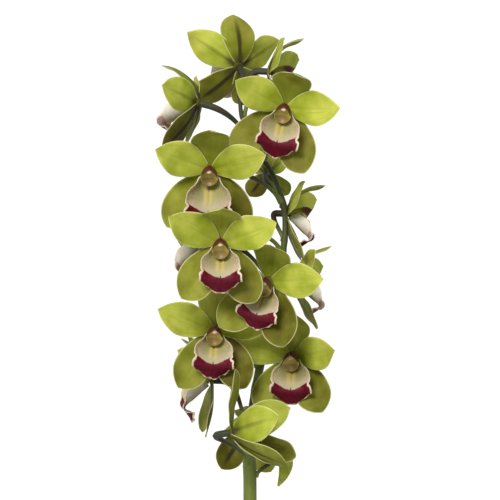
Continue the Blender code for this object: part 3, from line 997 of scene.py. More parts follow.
class StalkTree(GrowthTree):
    """Skins a line with a round, finely ribbed stalk; the line's own radii give its thickness."""

    def __init__(self) -> None:
        """Builds the tree."""
        super().__init__("stalk")
        sides, ribs = self.size("Sides", "Int"), self.size("Ribs")
        depth, finish = self.size("Rib Depth"), self.size("Finish", "Material")
        share = self.node("GeometryNodeSplineParameter")
        line = self._store(self.source, "along", share)
        ring = self.node("GeometryNodeCurvePrimitiveCircle", sockets={"Resolution": sides, "Radius": 1.0})
        ring = self._store(ring, "around", share)
        radius = self.node("GeometryNodeInputRadius")
        skin = self.node("GeometryNodeCurveToMesh", sockets={
            "Curve": line, "Profile Curve": ring, "Scale": radius, "Fill Caps": True})
        along = self.node("GeometryNodeInputNamedAttribute", sockets={"Name": "along"})
        around = self.node("GeometryNodeInputNamedAttribute", sockets={"Name": "around"})
        wave = ((around * ribs + along * 0.3) * math.tau).sine() * depth * along.step(0.45, 0.85)
        normal = self.node("GeometryNodeInputNormal")
        push = self.node("ShaderNodeVectorMath", {"operation": "SCALE"}, {0: normal, "Scale": wave})
        skin = self.node("GeometryNodeSetPosition", sockets={"Geometry": skin, "Offset": push})
        self.close(self.node("GeometryNodeSetShadeSmooth", sockets={"Geometry": skin}), finish)

    def _store(self, geometry: Wire, name: str, value: Wire) -> Wire:
        """Stores a number at the geometry's points."""
        return self.node("GeometryNodeStoreNamedAttribute", {"data_type": "FLOAT", "domain": "POINT"},
                         {"Geometry": geometry, "Name": name, "Value": value})

    def stalk(self, name: str, line: Sequence[Vector], radii: Sequence[float],
              finish: bpy.types.Material, sides: int = 18, ribs: float = 6.0,
              rib_depth: float = 0.0) -> bpy.types.Object:
        """Makes a stalk.

        Args:
            name: the piece's name.
            line: its centre line, in metres.
            radii: its radius at each point, in millimetres.
            finish: its material.
            sides: faces round it.
            ribs: ribs round it.
            rib_depth: how far its ribs stand out, in millimetres.

        Returns:
            The baked piece.
        """
        curve = bpy.data.curves.new(name, "CURVE")
        curve.dimensions = "3D"
        path = curve.splines.new("POLY")
        path.points.add(len(line) - 1)
        for spot, place, radius in zip(path.points, line, radii):
            spot.co = (*place, 1)
            spot.radius = radius * MM
        source = put(name + "_line", curve)
        return self.grow(source, name, Sides=sides, Ribs=ribs, Rib_Depth=rib_depth * MM, Finish=finish)


# ---- Flowers ----


class Tip(Enum):
    """How a tepal ends: the powers that shape its outline past its widest point."""

    BLUNT = (2.5, 0.64)
    ROUND = (2.3, 0.68)
    POINTED = (1.75, 0.86)


@dataclass(frozen=True)
class Tepal:
    """One sepal or petal, in its flower's frame, which looks along -Y with +Z up."""

    length: float
    width: float
    angle: float  # degrees clockwise from the top, seen from the front
    sweep: float  # degrees that it leans forward at its foot
    bend: float  # degrees that it bends forward from there
    cup: float  # how steeply its sides rise
    tip: Tip
    behind: float = 0.0  # how far back its foot is set
    twist: float = 0.0  # degrees about its own line
    wave: float = 0.5  # height of the waves at its edge
    waves: float = 2.0
    seed: float = 0.0
    recurve: float = 1.5  # how far its tip turns back
    widest: float = 0.56  # share of its length at its widest
    base_share: float = 0.24  # width at its foot over its greatest
    foot: float = 3.4  # from the middle of the flower to its foot

    def half_width(self, t: float) -> float:
        """Shapes its outline.

        Args:
            t: how far along, from 0 to 1.

        Returns:
            Half its width there, in millimetres.
        """
        if t < self.widest:
            rise = math.sin(math.pi / 2 * t / self.widest) ** 0.85
            return self.width / 2 * (self.base_share + (1 - self.base_share) * rise)
        past, sharpness = self.tip.value
        reach = (t - self.widest) / (1 - self.widest)
        return self.width / 2 * max(0.018, (1 - reach ** past) ** sharpness)

    def point(self, s: float, t: float) -> Vector:
        """Finds a point of its middle surface.

        Args:
            s: how far across, from -1 to 1.
            t: how far along, from 0 to 1.

        Returns:
            The point in millimetres.
        """
        start, bend = math.radians(self.sweep), math.radians(self.bend)
        if abs(bend) < 0.01:
            bend = 0.01
        lean = start + bend * t
        out = self.length / bend * (math.sin(lean) - math.sin(start))
        forward = self.length / bend * (math.cos(start) - math.cos(lean))
        forward -= self.behind * (1 - t) + self.recurve * smooth((t - 0.72) / 0.28) ** 2
        half = self.half_width(t)
        angle, turn = math.radians(self.angle), math.radians(self.twist) * t
        away = Vector((math.sin(angle), 0, math.cos(angle)))
        across = Vector((math.cos(angle), 0, -math.sin(angle)))
        ahead = Vector((0, -1, 0))
        face = ahead * math.cos(lean) - away * math.sin(lean)
        across, face = (across * math.cos(turn) + face * math.sin(turn),
                        face * math.cos(turn) - across * math.sin(turn))
        lift = self.cup * t * s * s * half
        edge = smooth((abs(s) - 0.3) / 0.7) * smooth(t / 0.3)
        ripple = math.sin(math.tau * (self.waves * t + self.seed) + (1.7 if s > 0 else 0))
        lift += self.wave * edge * (ripple + 0.8 * wander(self.seed, 4 * t, s * 1.5))
        lift -= 0.55 * bell(s * half, 1.5) * (1 - t) - 0.25 * bell(abs(s) * half - 3.6, 1.6) * (1 - t)
        lift += 0.5 * wander(self.seed + 3, 2.2 * t, 1.3 * s) * t
        return away * (self.foot + out) + ahead * forward + across * s * half + face * lift

    def thickness(self, s: float, t: float) -> float:
        """Its thickness at a point: fleshy at the foot and the keel, thin at the edge."""
        return 0.42 + 0.55 * (1 - t) ** 1.5 + 0.35 * bell(s, 0.12) * (1 - t)


@dataclass(frozen=True)
class Lip:
    """The lip: side lobes that stand up beside the column, and a middle lobe that hangs down."""

    length: float = 46.0
    full_length: float = 46.0  # the length at which its widths are as given
    start: tuple[float, float] = (1.6, -4.9)  # forward of the tepals' ring, and up from its centre
    descent: float = 46.0  # degrees below the level at its foot
    hang: float = 122.0  # the same at its end
    fold: float = 0.62  # share of its length at which it turns down
    lobe: float = 19.0  # half the width of its middle lobe
    side: float = 20.0  # half the width over its side lobes
    shoulder: float = 0.20  # how much the side lobes swell beside the column, over side
    reflex: float = 0.65  # radians that the middle lobe's sides turn back
    keel_gap: float = 1.9  # from the middle to each keel
    keel_rise: float = 1.5
    ruffle: float = 1.2
    seed: float = 0.0
    steps: int = 96

    def spine(self) -> list[tuple[float, float, float]]:
        """Follows its centre line.

        Returns:
            (y, z, drop) at steps + 1 even shares of its length.
        """
        y, z, line = -self.start[0], self.start[1], []
        for step in range(self.steps + 1):
            share = step / self.steps
            folded = smooth((share - self.fold + 0.06) / 0.20)
            drop = math.radians(self.descent + (self.hang - self.descent) * folded)
            line.append((y, z, drop))
            y -= math.cos(drop) * self.length / self.steps
            z -= math.sin(drop) * self.length / self.steps
        return line

    def half_width(self, v: float) -> float:
        """Shapes its outline, laid flat.

        Args:
            v: how far along, from 0 to 1.

        Returns:
            Half its width there, in millimetres.
        """
        grown = self.length / self.full_length
        if v < self.fold:
            share = 0.36 + 0.40 * smooth(v / 0.10) + 0.20 * v / self.fold
            share += self.shoulder * bell(v - self.fold * 0.60, 0.13)
            return grown * (self.side * share - 2.2 * bell(v - self.fold * 0.92, 0.024))
        tail = min(1.0, (v - self.fold) / (1 - self.fold))
        return grown * self.lobe * max(0.01, 1 - tail ** 2.2) ** 0.56

    def curl(self, v: float) -> float:
        """The angle, in radians, that its side turns up through from the middle to the edge."""
        return 2.1 * (1 - min(1.0, v / 0.75) ** 1.5) - self.reflex * smooth((v - self.fold) / 0.25)

    def point(self, line: list[tuple[float, float, float]], u: float, v: float) -> Vector:
        """Finds a point of its middle surface.

        Args:
            line: its centre line.
            u: how far across, from -1 to 1, with +X at -1 so that its inside is the front.
            v: how far along, from 0 to 1.

        Returns:
            The point in millimetres.
        """
        y, z, drop = line[min(self.steps, round(v * self.steps))]
        half = self.half_width(v)
        arc = -u * half
        curl = self.curl(v)
        radius = half / (curl if abs(curl) > 1e-3 else 1e-3)
        across = radius * math.sin(arc / radius)
        rise = radius * (1 - math.cos(arc / radius))
        margin = smooth((abs(u) - 0.55) / 0.45)
        edge = max(margin, smooth((v - 0.88) / 0.12)) * smooth((v - 0.3) / 0.25)
        sweep_round = math.atan2(arc, (v - self.fold - 0.05) * self.length + 0.001)
        rise += self.ruffle * edge * (math.sin(9.0 * sweep_round + self.seed)
                                      + 0.7 * wander(self.seed, u * 7, v * 9))
        rise += 0.35 * wander(self.seed + 5, u * 3, v * 5)
        keel = bell(abs(arc) - self.keel_gap, 1.15) * self.keel_window(v)
        rise += self.keel_rise * keel - 0.5 * bell(arc, 0.9) * self.keel_window(v)
        across *= 1 + 0.05 * edge * wander(self.seed + 2, v * 21, 1 if u > 0 else -1)
        return Vector((across, y - math.sin(drop) * rise, z + math.cos(drop) * rise))

    def keel_window(self, v: float) -> float:
        """How much of the two keels there is at share v: they stop short of the fold."""
        return smooth((v - 0.14) / 0.12) * smooth((self.fold - 0.08 - v) / 0.08)


@dataclass(frozen=True)
class Column:
    """The column: a hood that arches over the lip and opens forwards and down."""

    # Forward and up of each ring of its length, and half its width
    path: tuple[tuple[float, float], ...] = ((1.5, 0.0), (6, 0.9), (11, 1.6), (15.5, 1.8), (19.5, 1.3))
    widths: tuple[float, ...] = (3.1, 3.5, 4.6, 6.1, 7.1)
    mouth: tuple[float, float] = (23.5, -2.8)
    mouth_size: tuple[float, float] = (7.3, 7.8)
    lean_back: float = 0.62
    mouth_front: float = 19.5
    # Rings of the mouth, from its rim to the back of its hollow: shares of its half width and half
    # height, the place behind its front, and how much is hood and how much hollow
    mouth_rings: tuple[tuple[float, float, float, float, float], ...] = (
        (1.00, 1.00, 0.0, 0.7, 0.0), (1.02, 1.02, -0.9, 1.0, 0.0), (0.96, 0.955, -1.2, 0.9, 0.2),
        (0.90, 0.89, -0.4, 0.0, 0.8), (0.73, 0.70, 1.6, 0.0, 1.0), (0.42, 0.40, 3.0, 0.0, 1.0),
        (0.16, 0.15, 3.3, 0.0, 1.0),
    )
    cap_size: tuple[float, float, float] = (2.3, 1.9, 1.7)
    cap_behind: float = 1.0
    cap_above: float = 5.3
    cap_sides: int = 16
    cap_steps: int = 8
    points: int = 32

    def shield(self, angle: float) -> tuple[float, float]:
        """Shapes the outline of the mouth: a peak above, a round bottom.

        Args:
            angle: radians from its top.

        Returns:
            X and Z there, for a half size of 1.
        """
        x, z = math.sin(angle), math.cos(angle)
        if z > 0:
            return x * (1 - 0.25 * z), z * (1.08 - 0.28 * abs(x) ** 0.8)
        return x * (1 - 0.10 * z * z), z

    def ring(self, width: float, height: float, y: float, z: float, peak: float, lean: float) -> list[Vector]:
        """A loop round the column.

        Args:
            width: half its width.
            height: half its height.
            y: its place along Y.
            z: its middle's height.
            peak: 0 for a plain oval, 1 for the shield of the mouth.
            lean: how far it slants back for each unit down.

        Returns:
            Its points, from the top round.
        """
        loop = []
        for index in range(self.points):
            angle = math.tau * index / self.points
            sx, sz = self.shield(angle)
            x = width * (math.sin(angle) * (1 - peak) + sx * peak)
            rise = height * (math.cos(angle) * (1 - peak) + sz * peak)
            loop.append(Vector((x, y - rise * lean, z + rise)))
        return loop

    def build(self, shell: Shell, place: Matrix) -> None:
        """Adds the column and its anther cap to a shell.

        Args:
            shell: the shell.
            place: from its flower's frame to the row frame.
        """
        rings, marks = [], []
        count = len(self.path)
        for index, ((ahead, z), width) in enumerate(zip(self.path, self.widths)):
            share = index / count
            height = width * (1.0 - 0.02 * index) + (1.2 * share if index else 0)
            rings.append(self.ring(width, height, -ahead + 3.2 * share, z - 2.2 * share ** 2,
                                   share ** 2, self.lean_back * share))
            marks.append([dict(hood=0.8 * share * self._top(i)) for i in range(self.points)])
        wide, tall = self.mouth_size
        for across, up, back, hood, face in self.mouth_rings:
            rings.append(self.ring(wide * across, tall * up, back - self.mouth_front, self.mouth[1], 1.0,
                                   self.lean_back))
            marks.append([dict(hood=hood * self._top(i), face=face, low=self._low(i))
                          for i in range(self.points)])
        shell.loft(rings, place, marks)
        self._cap(shell, place)

    def _top(self, index: int) -> float:
        """1 on the upper half of a ring, falling to 0 below it."""
        return smooth((math.cos(math.tau * index / self.points) + 0.15) / 0.5)

    def _low(self, index: int) -> float:
        """0 on the upper half of a ring, rising to 1 at its bottom."""
        return smooth((0.3 - math.cos(math.tau * index / self.points)) / 0.9)

    def _cap(self, shell: Shell, place: Matrix) -> None:
        """Adds the two-lobed anther cap under the peak of the hood.

        Args:
            shell: the shell.
            place: from its flower's frame to the row frame.
        """
        rings, marks, sides = [], [], self.cap_sides
        wide, deep, tall = self.cap_size
        for step in range(1, self.cap_steps):
            slope = math.pi * step / self.cap_steps
            ring = []
            for index in range(sides):
                angle = math.tau * index / sides
                groove = 1 - 0.16 * bell(math.sin(angle), 0.25) * (1 if math.cos(angle) < 0.2 else 0.4)
                ring.append(Vector((
                    wide * math.sin(slope) * math.sin(angle) * groove,
                    -self.mouth[0] + self.cap_behind - deep * math.cos(slope),
                    self.mouth[1] + self.cap_above + tall * math.sin(slope) * math.cos(angle) * groove,
                )))
            rings.append(ring)
            marks.append([dict(cap=1.0)] * sides)
        shell.loft(rings, place, marks)


@dataclass(frozen=True)
class Bloom:
    """One flower of the spike.

    Attributes:
        hub: where its tepals meet, in millimetres.
        turn: degrees that it is turned about Z from facing -Y.
        nod: degrees that it then looks down.
        roll: degrees that it then rolls clockwise as seen from the front.
        size: its size over an open flower's.
        node: the height at which its stalk leaves the stem.
        dorsal: sweep and bend of the top sepal.
        petals: sweep of the two petals.
        lifts: degrees that the petals are raised.
        laterals: sweep of the two lower sepals.
        swing: degrees that its lip and column lean to one side.
        lip: descent, hang and length of its lip.
    """

    hub: tuple[float, float, float]
    turn: float
    nod: float
    roll: float
    size: float
    node: float
    dorsal: tuple[float, float] = (6.0, 72.0)
    petals: tuple[float, float] = (24.0, 24.0)
    lifts: tuple[float, float] = (0.0, 0.0)
    laterals: tuple[float, float] = (4.0, 4.0)
    swing: float = 0.0
    lip: tuple[float, float, float] = (46.0, 122.0, 46.0)

    def frame(self) -> Matrix:
        """From the flower's frame in millimetres to the row frame in metres."""
        turn, nod, roll = (math.radians(a) for a in (self.turn, self.nod, self.roll))
        return (Matrix.Translation(Vector(self.hub) * MM) @ Matrix.Rotation(turn, 4, "Z")
                @ Matrix.Rotation(nod, 4, "X") @ Matrix.Rotation(roll, 4, "Y")
                @ Matrix.Scale(self.size * MM, 4))

    def lip_frame(self) -> Matrix:
        """The frame of its lip and its column, which may swing a little to one side."""
        return self.frame() @ Matrix.Rotation(math.radians(self.swing), 4, "Y")

    def stances(self) -> tuple[dict[str, float], ...]:
        """How its five tepals stand, clockwise from the top one as seen from the front."""
        return (
            dict(sweep=self.dorsal[0], bend=self.dorsal[1]),
            dict(sweep=self.petals[0], angle=70.0 - self.lifts[0]),
            dict(sweep=self.laterals[0]),
            dict(sweep=self.laterals[1]),
            dict(sweep=self.petals[1], angle=290.0 + self.lifts[1]),
        )


# A lip that hangs nearly straight down: its descent, its hang and its length
HALF_OPEN = (42, 144, 46)

BLOOMS = (
    Bloom((-11, 38, 795), 202, -30, 2, 0.98, 764, dorsal=(6, 70), lifts=(4, 0)),
    Bloom((18, 16, 787), 86, 4, -4, 0.88, 745, dorsal=(10, 72), petals=(24, 10), lifts=(0, 14),
          laterals=(4, 8), lip=HALF_OPEN),
    Bloom((-47, -16, 756), -108, -14, 0, 0.98, 716, dorsal=(24, 74), petals=(10, 24), lifts=(-14, 0),
          laterals=(-2, 4), lip=HALF_OPEN),
    Bloom((30, -48, 748), -4, 12, 16, 1.00, 706, dorsal=(8, 78), petals=(24, 32), swing=-4),
    Bloom((-35, -52, 694), 0, 12, 2, 1.02, 668, dorsal=(6, 68), lifts=(2, 4), laterals=(-8, -8),
          lip=(60, 120, 52)),
    Bloom((34, 16, 658), 86, 2, 0, 0.88, 634, dorsal=(18, 76), petals=(24, 12), lifts=(0, 14),
          laterals=(4, 10), lip=HALF_OPEN),
    Bloom((-25, -80, 630), 0, 8, 2, 1.00, 622, dorsal=(8, 76), lifts=(9, 9), laterals=(-4, 4),
          swing=-2),
    Bloom((-43, 12, 634), -98, 2, 0, 0.98, 592, dorsal=(6, 45), petals=(10, 24), lip=(48, 122, 46)),
    Bloom((16, -50, 597), -12, 8, 15, 1.00, 556, dorsal=(6, 78), petals=(16, 16), lifts=(0, -24)),
    Bloom((42, 20, 597), 92, 0, 0, 0.90, 574, dorsal=(12, 76), petals=(30, 14), lifts=(0, 14),
          laterals=(8, 8), lip=HALF_OPEN),
    Bloom((-31, -24, 553), 0, 6, 3, 1.00, 520, dorsal=(2, 45), petals=(14, 14)),
    Bloom((38, -6, 529), -6, 5, 0, 1.00, 500, dorsal=(6, 56), petals=(42, 14), lifts=(-4, 0),
          laterals=(10, 8)),
    Bloom((-36, 22, 506), -82, -2, 0, 0.96, 466, petals=(24, 24), lifts=(34, 10),
          laterals=(-6, -10), lip=(42, 126, 46)),
    Bloom((-14, -60, 467), 80, -8, 0, 1.04, 434, dorsal=(0, 24), petals=(50, 52), laterals=(42, 44),
          lip=(18, 90, 28)),
    Bloom((-2, 52, 459), 184, 20, -4, 0.76, 430, dorsal=(20, 60), petals=(58, 58)),
    Bloom((15, 42, 697), 172, -24, 0, 0.58, 664, petals=(44, 44), laterals=(4, 4), lip=(40, 122, 24)),
)


@dataclass
class Flower:
    """A flower: three sepals, two petals, a lip, a column and the stalk that bears them."""

    number: int
    bloom: Bloom
    tepals: tuple[Tepal, ...] = (
        Tepal(51, 34, 0, 6, 72, 0.22, Tip.ROUND, behind=1.5),
        Tepal(56, 31, 70, 24, 14, 0.10, Tip.POINTED, widest=0.50),
        Tepal(57, 34, 147, 4, 30, 0.18, Tip.BLUNT, behind=1.2),
        Tepal(57, 34, 213, 4, 30, 0.18, Tip.BLUNT, behind=1.6),
        Tepal(56, 31, 290, 24, 14, 0.10, Tip.POINTED, widest=0.50),
    )
    lip: Lip = field(default_factory=Lip)
    # How much painted shade, in olive, each tepal may have, from and to: most on the right lower sepal, which
    # sits in shade
    painted_shade_ranges: tuple[tuple[float, float], ...] = (
        (0.36, 0.58), (0.0, 0.18), (0.72, 1.00), (0.42, 0.68), (0.0, 0.18),
    )
    column: Column = field(default_factory=Column)
    neck: float = 2.9  # radius of the stalk behind the flower
    pedicel: float = 1.9  # its radius near the stem
    straight: float = 9.0  # how much of it runs straight into the flower
    # Radius and place along +Y of each ring of the receptacle
    receptacle: tuple[tuple[float, float], ...] = (
        (2.6, 3.4), (4.2, 2.4), (5.0, 1.2), (4.6, 0.2), (3.0, -0.6),
    )
    receptacle_sides: int = 20
    growth: tuple[float, float] = (0.97, 1.03)  # least and greatest size over the usual one
    rows: int = 30
    columns: int = 18
    lip_rows: int = 46
    lip_columns: int = 38

    def __post_init__(self) -> None:
        """Seeds what differs from flower to flower and names its CAD nodes."""
        self.chance = random.Random(100 + self.number)
        self.node = f"flower_{self.number:02d}"

    def build(self, wardrobe: Wardrobe, stalks: StalkTree, stem: Stem) -> None:
        """Makes the flower's pieces.

        Args:
            wardrobe: the finishes.
            stalks: the tree that skins stalks.
            stem: the stem that the flower grows from.
        """
        self._tepals(wardrobe.tepal)
        self._lip(wardrobe.lip)
        self._column(wardrobe.column)
        self._stalk(wardrobe.pedicel, stalks, stem)

    def _varied(self, tepal: Tepal, stance: dict[str, float]) -> Tepal:
        """Makes a tepal stand as this flower's do, with its own small differences.

        Args:
            tepal: an open flower's.
            stance: what the bloom changes.

        Returns:
            The tepal.
        """
        c = self.chance
        posed = replace(tepal, **stance)
        return replace(
            posed,
            length=posed.length * c.uniform(*self.growth),
            width=posed.width * c.uniform(*self.growth),
            angle=posed.angle + (c.uniform(-2.5, 2.5) if posed.angle else 0),
            sweep=posed.sweep + c.uniform(-2, 2),
            bend=posed.bend + c.uniform(-4, 4),
            twist=c.uniform(-9, 9),
            wave=c.uniform(0.35, 0.9),
            waves=c.uniform(1.3, 2.4),
            seed=c.uniform(0, 50),
            recurve=c.uniform(0.5, 3.0),
        )

    def _tepals(self, finish: bpy.types.Material) -> None:
        """Makes the sepals, the petals and the receptacle that joins them.

        Args:
            finish: their material.
        """
        shell = Shell("edge_mm", "back", "tone")
        place = self.bloom.frame()
        for tepal, stance, painted_shade_ranges in zip(self.tepals, self.bloom.stances(), self.painted_shade_ranges):
            # Each tepal's tone, its share of painted shade, is drawn from its range.
            leaf, tone = self._varied(tepal, stance), self.chance.uniform(*painted_shade_ranges)
            shell.sheet(leaf.point, self.rows, self.columns, leaf.thickness, leaf.half_width,
                        leaf.length, place, lambda u, v, tone=tone: dict(tone=tone))
        sides = self.receptacle_sides
        rings = [[Vector((r * math.sin(math.tau * i / sides), y, r * math.cos(math.tau * i / sides)))
                  for i in range(sides)] for r, y in self.receptacle]
        # The receptacle takes the full painted shade, a tone of 1.
        shell.loft(rings, place, [[dict(back=1.0, edge_mm=9.0, tone=1.0)] * sides] * len(rings))
        stand_for(shell.piece(f"tepals_{self.number:02d}", finish), Slot.TEPAL, f"{self.node}_tepals")

    def _lip(self, finish: bpy.types.Material) -> None:
        """Makes the lip with its frilled margin and its two keels.

        Args:
            finish: its material.
        """
        descent, hang, length = self.bloom.lip
        lip = replace(self.lip, descent=descent, hang=hang, length=length * self.chance.uniform(*self.growth),
                      seed=self.chance.uniform(0, 30), ruffle=self.chance.uniform(0.9, 1.4))
        line = lip.spine()
        shell = Shell("edge_mm", "back", "keel")
        shell.sheet(
            lambda u, v: lip.point(line, u, v), self.lip_rows, self.lip_columns,
            lambda u, v: 0.55 + 0.5 * (1 - v), lip.half_width, lip.length, self.bloom.lip_frame(),
            lambda u, v: dict(keel=bell(abs(u) * lip.half_width(v) - lip.keel_gap, 1.5) * lip.keel_window(v)),
        )
        stand_for(shell.piece(f"lip_{self.number:02d}", finish), Slot.LIP, f"{self.node}_lip")

    def _column(self, finish: bpy.types.Material) -> None:
        """Makes the column and its anther cap.

        Args:
            finish: its material.
        """
        shell = Shell("hood", "face", "low", "cap")
        self.column.build(shell, self.bloom.lip_frame())
        stand_for(shell.piece(f"column_{self.number:02d}", finish), Slot.TEPAL, f"{self.node}_stalk")

    def _stalk(self, finish: bpy.types.Material, stalks: StalkTree, stem: Stem) -> None:
        """Makes the pedicel and the ribbed ovary, from the stem to the back of the flower.

        Args:
            finish: its material.
            stalks: the tree that skins stalks.
            stem: the stem that it grows from.
        """
        frame = self.bloom.frame()
        ahead = (frame.to_3x3() @ Vector((0, -1, 0))).normalized()
        foot = stem.at(self.bloom.node)
        behind = frame.translation - ahead * self.straight * MM
        outward = Vector((behind.x - foot.x, behind.y - foot.y, 0)).normalized()
        foot += outward * (stem.radius(self.bloom.node) - 0.8) * MM
        reach = (behind - foot).length
        line = bezier(foot, foot + (outward * 0.5 + UP * 0.8) * reach * 0.40,
                      behind - ahead * reach * 0.35, behind, 26)
        line.append(frame.translation - ahead * 1.5 * MM)
        radii = []
        for index in range(len(line)):
            share = index / (len(line) - 1)
            flare = 1.1 * bell(share, 0.06)
            radii.append(self.pedicel + (self.neck - self.pedicel) * smooth((share - 0.3) / 0.6) + flare)
        piece = stalks.stalk(f"pedicel_{self.number:02d}", line, radii, finish, sides=24, rib_depth=0.22)
        stand_for(piece, Slot.TEPAL, f"{self.node}_stalk")


# ---- Stem, bud and bracts ----


@dataclass
class Stem:
    """The flower spike's stem, which zigzags a little from flower to flower."""

    points: tuple[tuple[float, float, float], ...] = (
        (0, 0, 112), (0, 0, 250), (0, 0, 400), (0, 2, 455), (4, 6, 492), (12, 7, 536), (21, 5, 582),
        (30, 2, 624), (31, 2, 660), (22, 3, 690), (6, 3, 716), (-7, 4, 745), (-9, 8, 764),
    )
    base_radius: float = 6.0
    top_radius: float = 1.8
    taper_from: float = 430.0
    joints: tuple[float, ...] = tuple(sorted(bloom.node for bloom in BLOOMS))

    def line(self, per_span: int) -> list[Vector]:
        """Its centre line in metres."""
        return catmull_rom([Vector(point) * MM for point in self.points], per_span)

    def radius(self, height: float) -> float:
        """Tapers the stem.

        Args:
            height: in millimetres.

        Returns:
            Its radius there, in millimetres.
        """
        top = self.points[-1][2]
        share = min(1.0, max(0.0, (height - self.taper_from) / (top - self.taper_from)))
        return self.base_radius + (self.top_radius - self.base_radius) * share ** 0.45

    def at(self, height: float) -> Vector:
        """Finds its centre at a height.

        Args:
            height: in millimetres.

        Returns:
            The point, in metres.
        """
        line = self.line(2)
        for low, high in zip(line, line[1:]):
            if high.z >= height * MM:
                return low.lerp(high, max(0.0, (height * MM - low.z) / (high.z - low.z)))
        return line[-1].copy()

    def build(self, wardrobe: Wardrobe, stalks: StalkTree) -> None:
        """Makes the stem, a little thicker where each flower leaves it.

        Args:
            wardrobe: the finishes.
            stalks: the tree that skins stalks.
        """
        line = self.line(12)
        radii = []
        for point in line:
            height = point.z / MM
            swelling = sum(0.45 * bell(height - joint, 4.0) for joint in self.joints)
            radii.append(self.radius(height) + swelling)
        piece = stalks.stalk("stem", line, radii, wardrobe.stem, sides=36, ribs=12, rib_depth=0.05)
        stand_for(piece, Slot.STEM, "flower_spike_stem")


@dataclass
class Bud:
    """The lowest bud: a thin stalk that droops to three closed, overlapping sepals."""

    stem: Stem
    node: float = 422.0
    path: tuple[tuple[float, float, float], ...] = (
        (8, -3, 426), (14, -5, 431), (22, -8, 436), (29, -9, 438), (32, -10, 434), (30, -11, 424),
        (25, -12, 414),
    )
    stalk_spans: int = 4
    stalk_steps: int = 6
    body_steps: int = 8
    girth: float = 6.8
    sides: int = 30

    def build(self, wardrobe: Wardrobe, stalks: StalkTree) -> None:
        """Makes the bud and its stalk.

        Args:
            wardrobe: the finishes.
            stalks: the tree that skins stalks.
        """
        foot = self.stem.at(self.node) + Vector((self.stem.radius(self.node) - 0.5, -1, 0)) * MM
        points = [foot] + [Vector(point) * MM for point in self.path]
        line = catmull_rom(points, self.stalk_steps)
        stalk_end = self.stalk_steps * self.stalk_spans
        radii = [1.7 + 0.9 * bell(i / stalk_end, 0.1) + 0.5 * smooth((i / stalk_end - 0.6) / 0.4)
                 for i in range(stalk_end)]
        stalk = stalks.stalk("bud_stalk", line[:stalk_end], radii, wardrobe.pedicel, rib_depth=0.15)
        stand_for(stalk, Slot.TEPAL, "bud")
        shell = Shell("edge_mm", "back", "tone")
        rings, marks = [], []
        body = catmull_rom([point / MM for point in points[self.stalk_spans - 1:]], self.body_steps)
        for index, centre in enumerate(body):
            share = index / (len(body) - 1)
            radius = self._radius(share)
            ahead = (body[min(index + 1, len(body) - 1)] - body[max(index - 1, 0)]).normalized()
            side = ahead.cross(Vector((0, 1, 0))).normalized()
            front = side.cross(ahead)
            ring, mark = [], []
            for corner in range(self.sides):
                angle = math.tau * corner / self.sides
                seam = bell(math.sin(1.5 * (angle + 1.2 * share)), 0.16)
                reach = radius * (1 - 0.11 * seam)
                ring.append(centre + (side * math.cos(angle) + front * math.sin(angle)) * reach)
                mark.append(dict(edge_mm=4.0 - 3.4 * seam, back=0.1, tone=0.0))
            rings.append(ring)
            marks.append(mark)
        shell.loft(rings, Matrix.Scale(MM, 4), marks)
        stand_for(shell.piece("bud_sepals", wardrobe.tepal), Slot.TEPAL, "bud")

    def _radius(self, share: float) -> float:
        """The bud's radius, in millimetres, along its length."""
        return max(0.5, self.girth * math.sin(math.pi * min(1.0, 0.12 + 0.86 * share ** 0.85)) ** 0.8)


@dataclass
class StemBract:
    """A papery bract that sheathes the bare part of the stem and leans off at its tip."""

    name: str
    foot: float
    length: float
    side: float
    stem_radius: float = 6.0

    def build(self, wardrobe: Wardrobe) -> None:
        """Makes the bract.

        Args:
            wardrobe: the finishes.
        """
        shell = Shell("edge_mm", "back")
        shell.sheet(self.point, 26, 26, lambda u, v: 0.5, lambda v: 17 * (1 - 0.75 * v ** 1.5),
                    self.length, Matrix.Scale(MM, 4))
        piece = shell.piece(f"bract_{self.name}", wardrobe.bract)
        stand_for(piece, Slot.BRACT, f"stem_bract_{self.name}")

    def point(self, u: float, v: float) -> Vector:
        """Finds a point of its middle surface.

        Args:
            u: how far round, from -1 to 1.
            v: how far up, from 0 to 1.

        Returns:
            The point in millimetres.
        """
        wrap = math.radians(self.side + u * (165 - 150 * v ** 1.6))
        radius = self.stem_radius + 0.9 + 4.6 * v ** 2 + 0.35 * wander(self.foot, u * 3, v * 4)
        pleat = 0.16 * math.sin(u * 22) * (1 - v)
        radius += pleat
        return Vector((radius * math.cos(wrap), radius * math.sin(wrap), self.foot + self.length * v))


BRACTS = (StemBract("lower", 175, 48, 200), StemBract("upper", 268, 44, 20))


# ---- Pseudobulbs and leaves ----


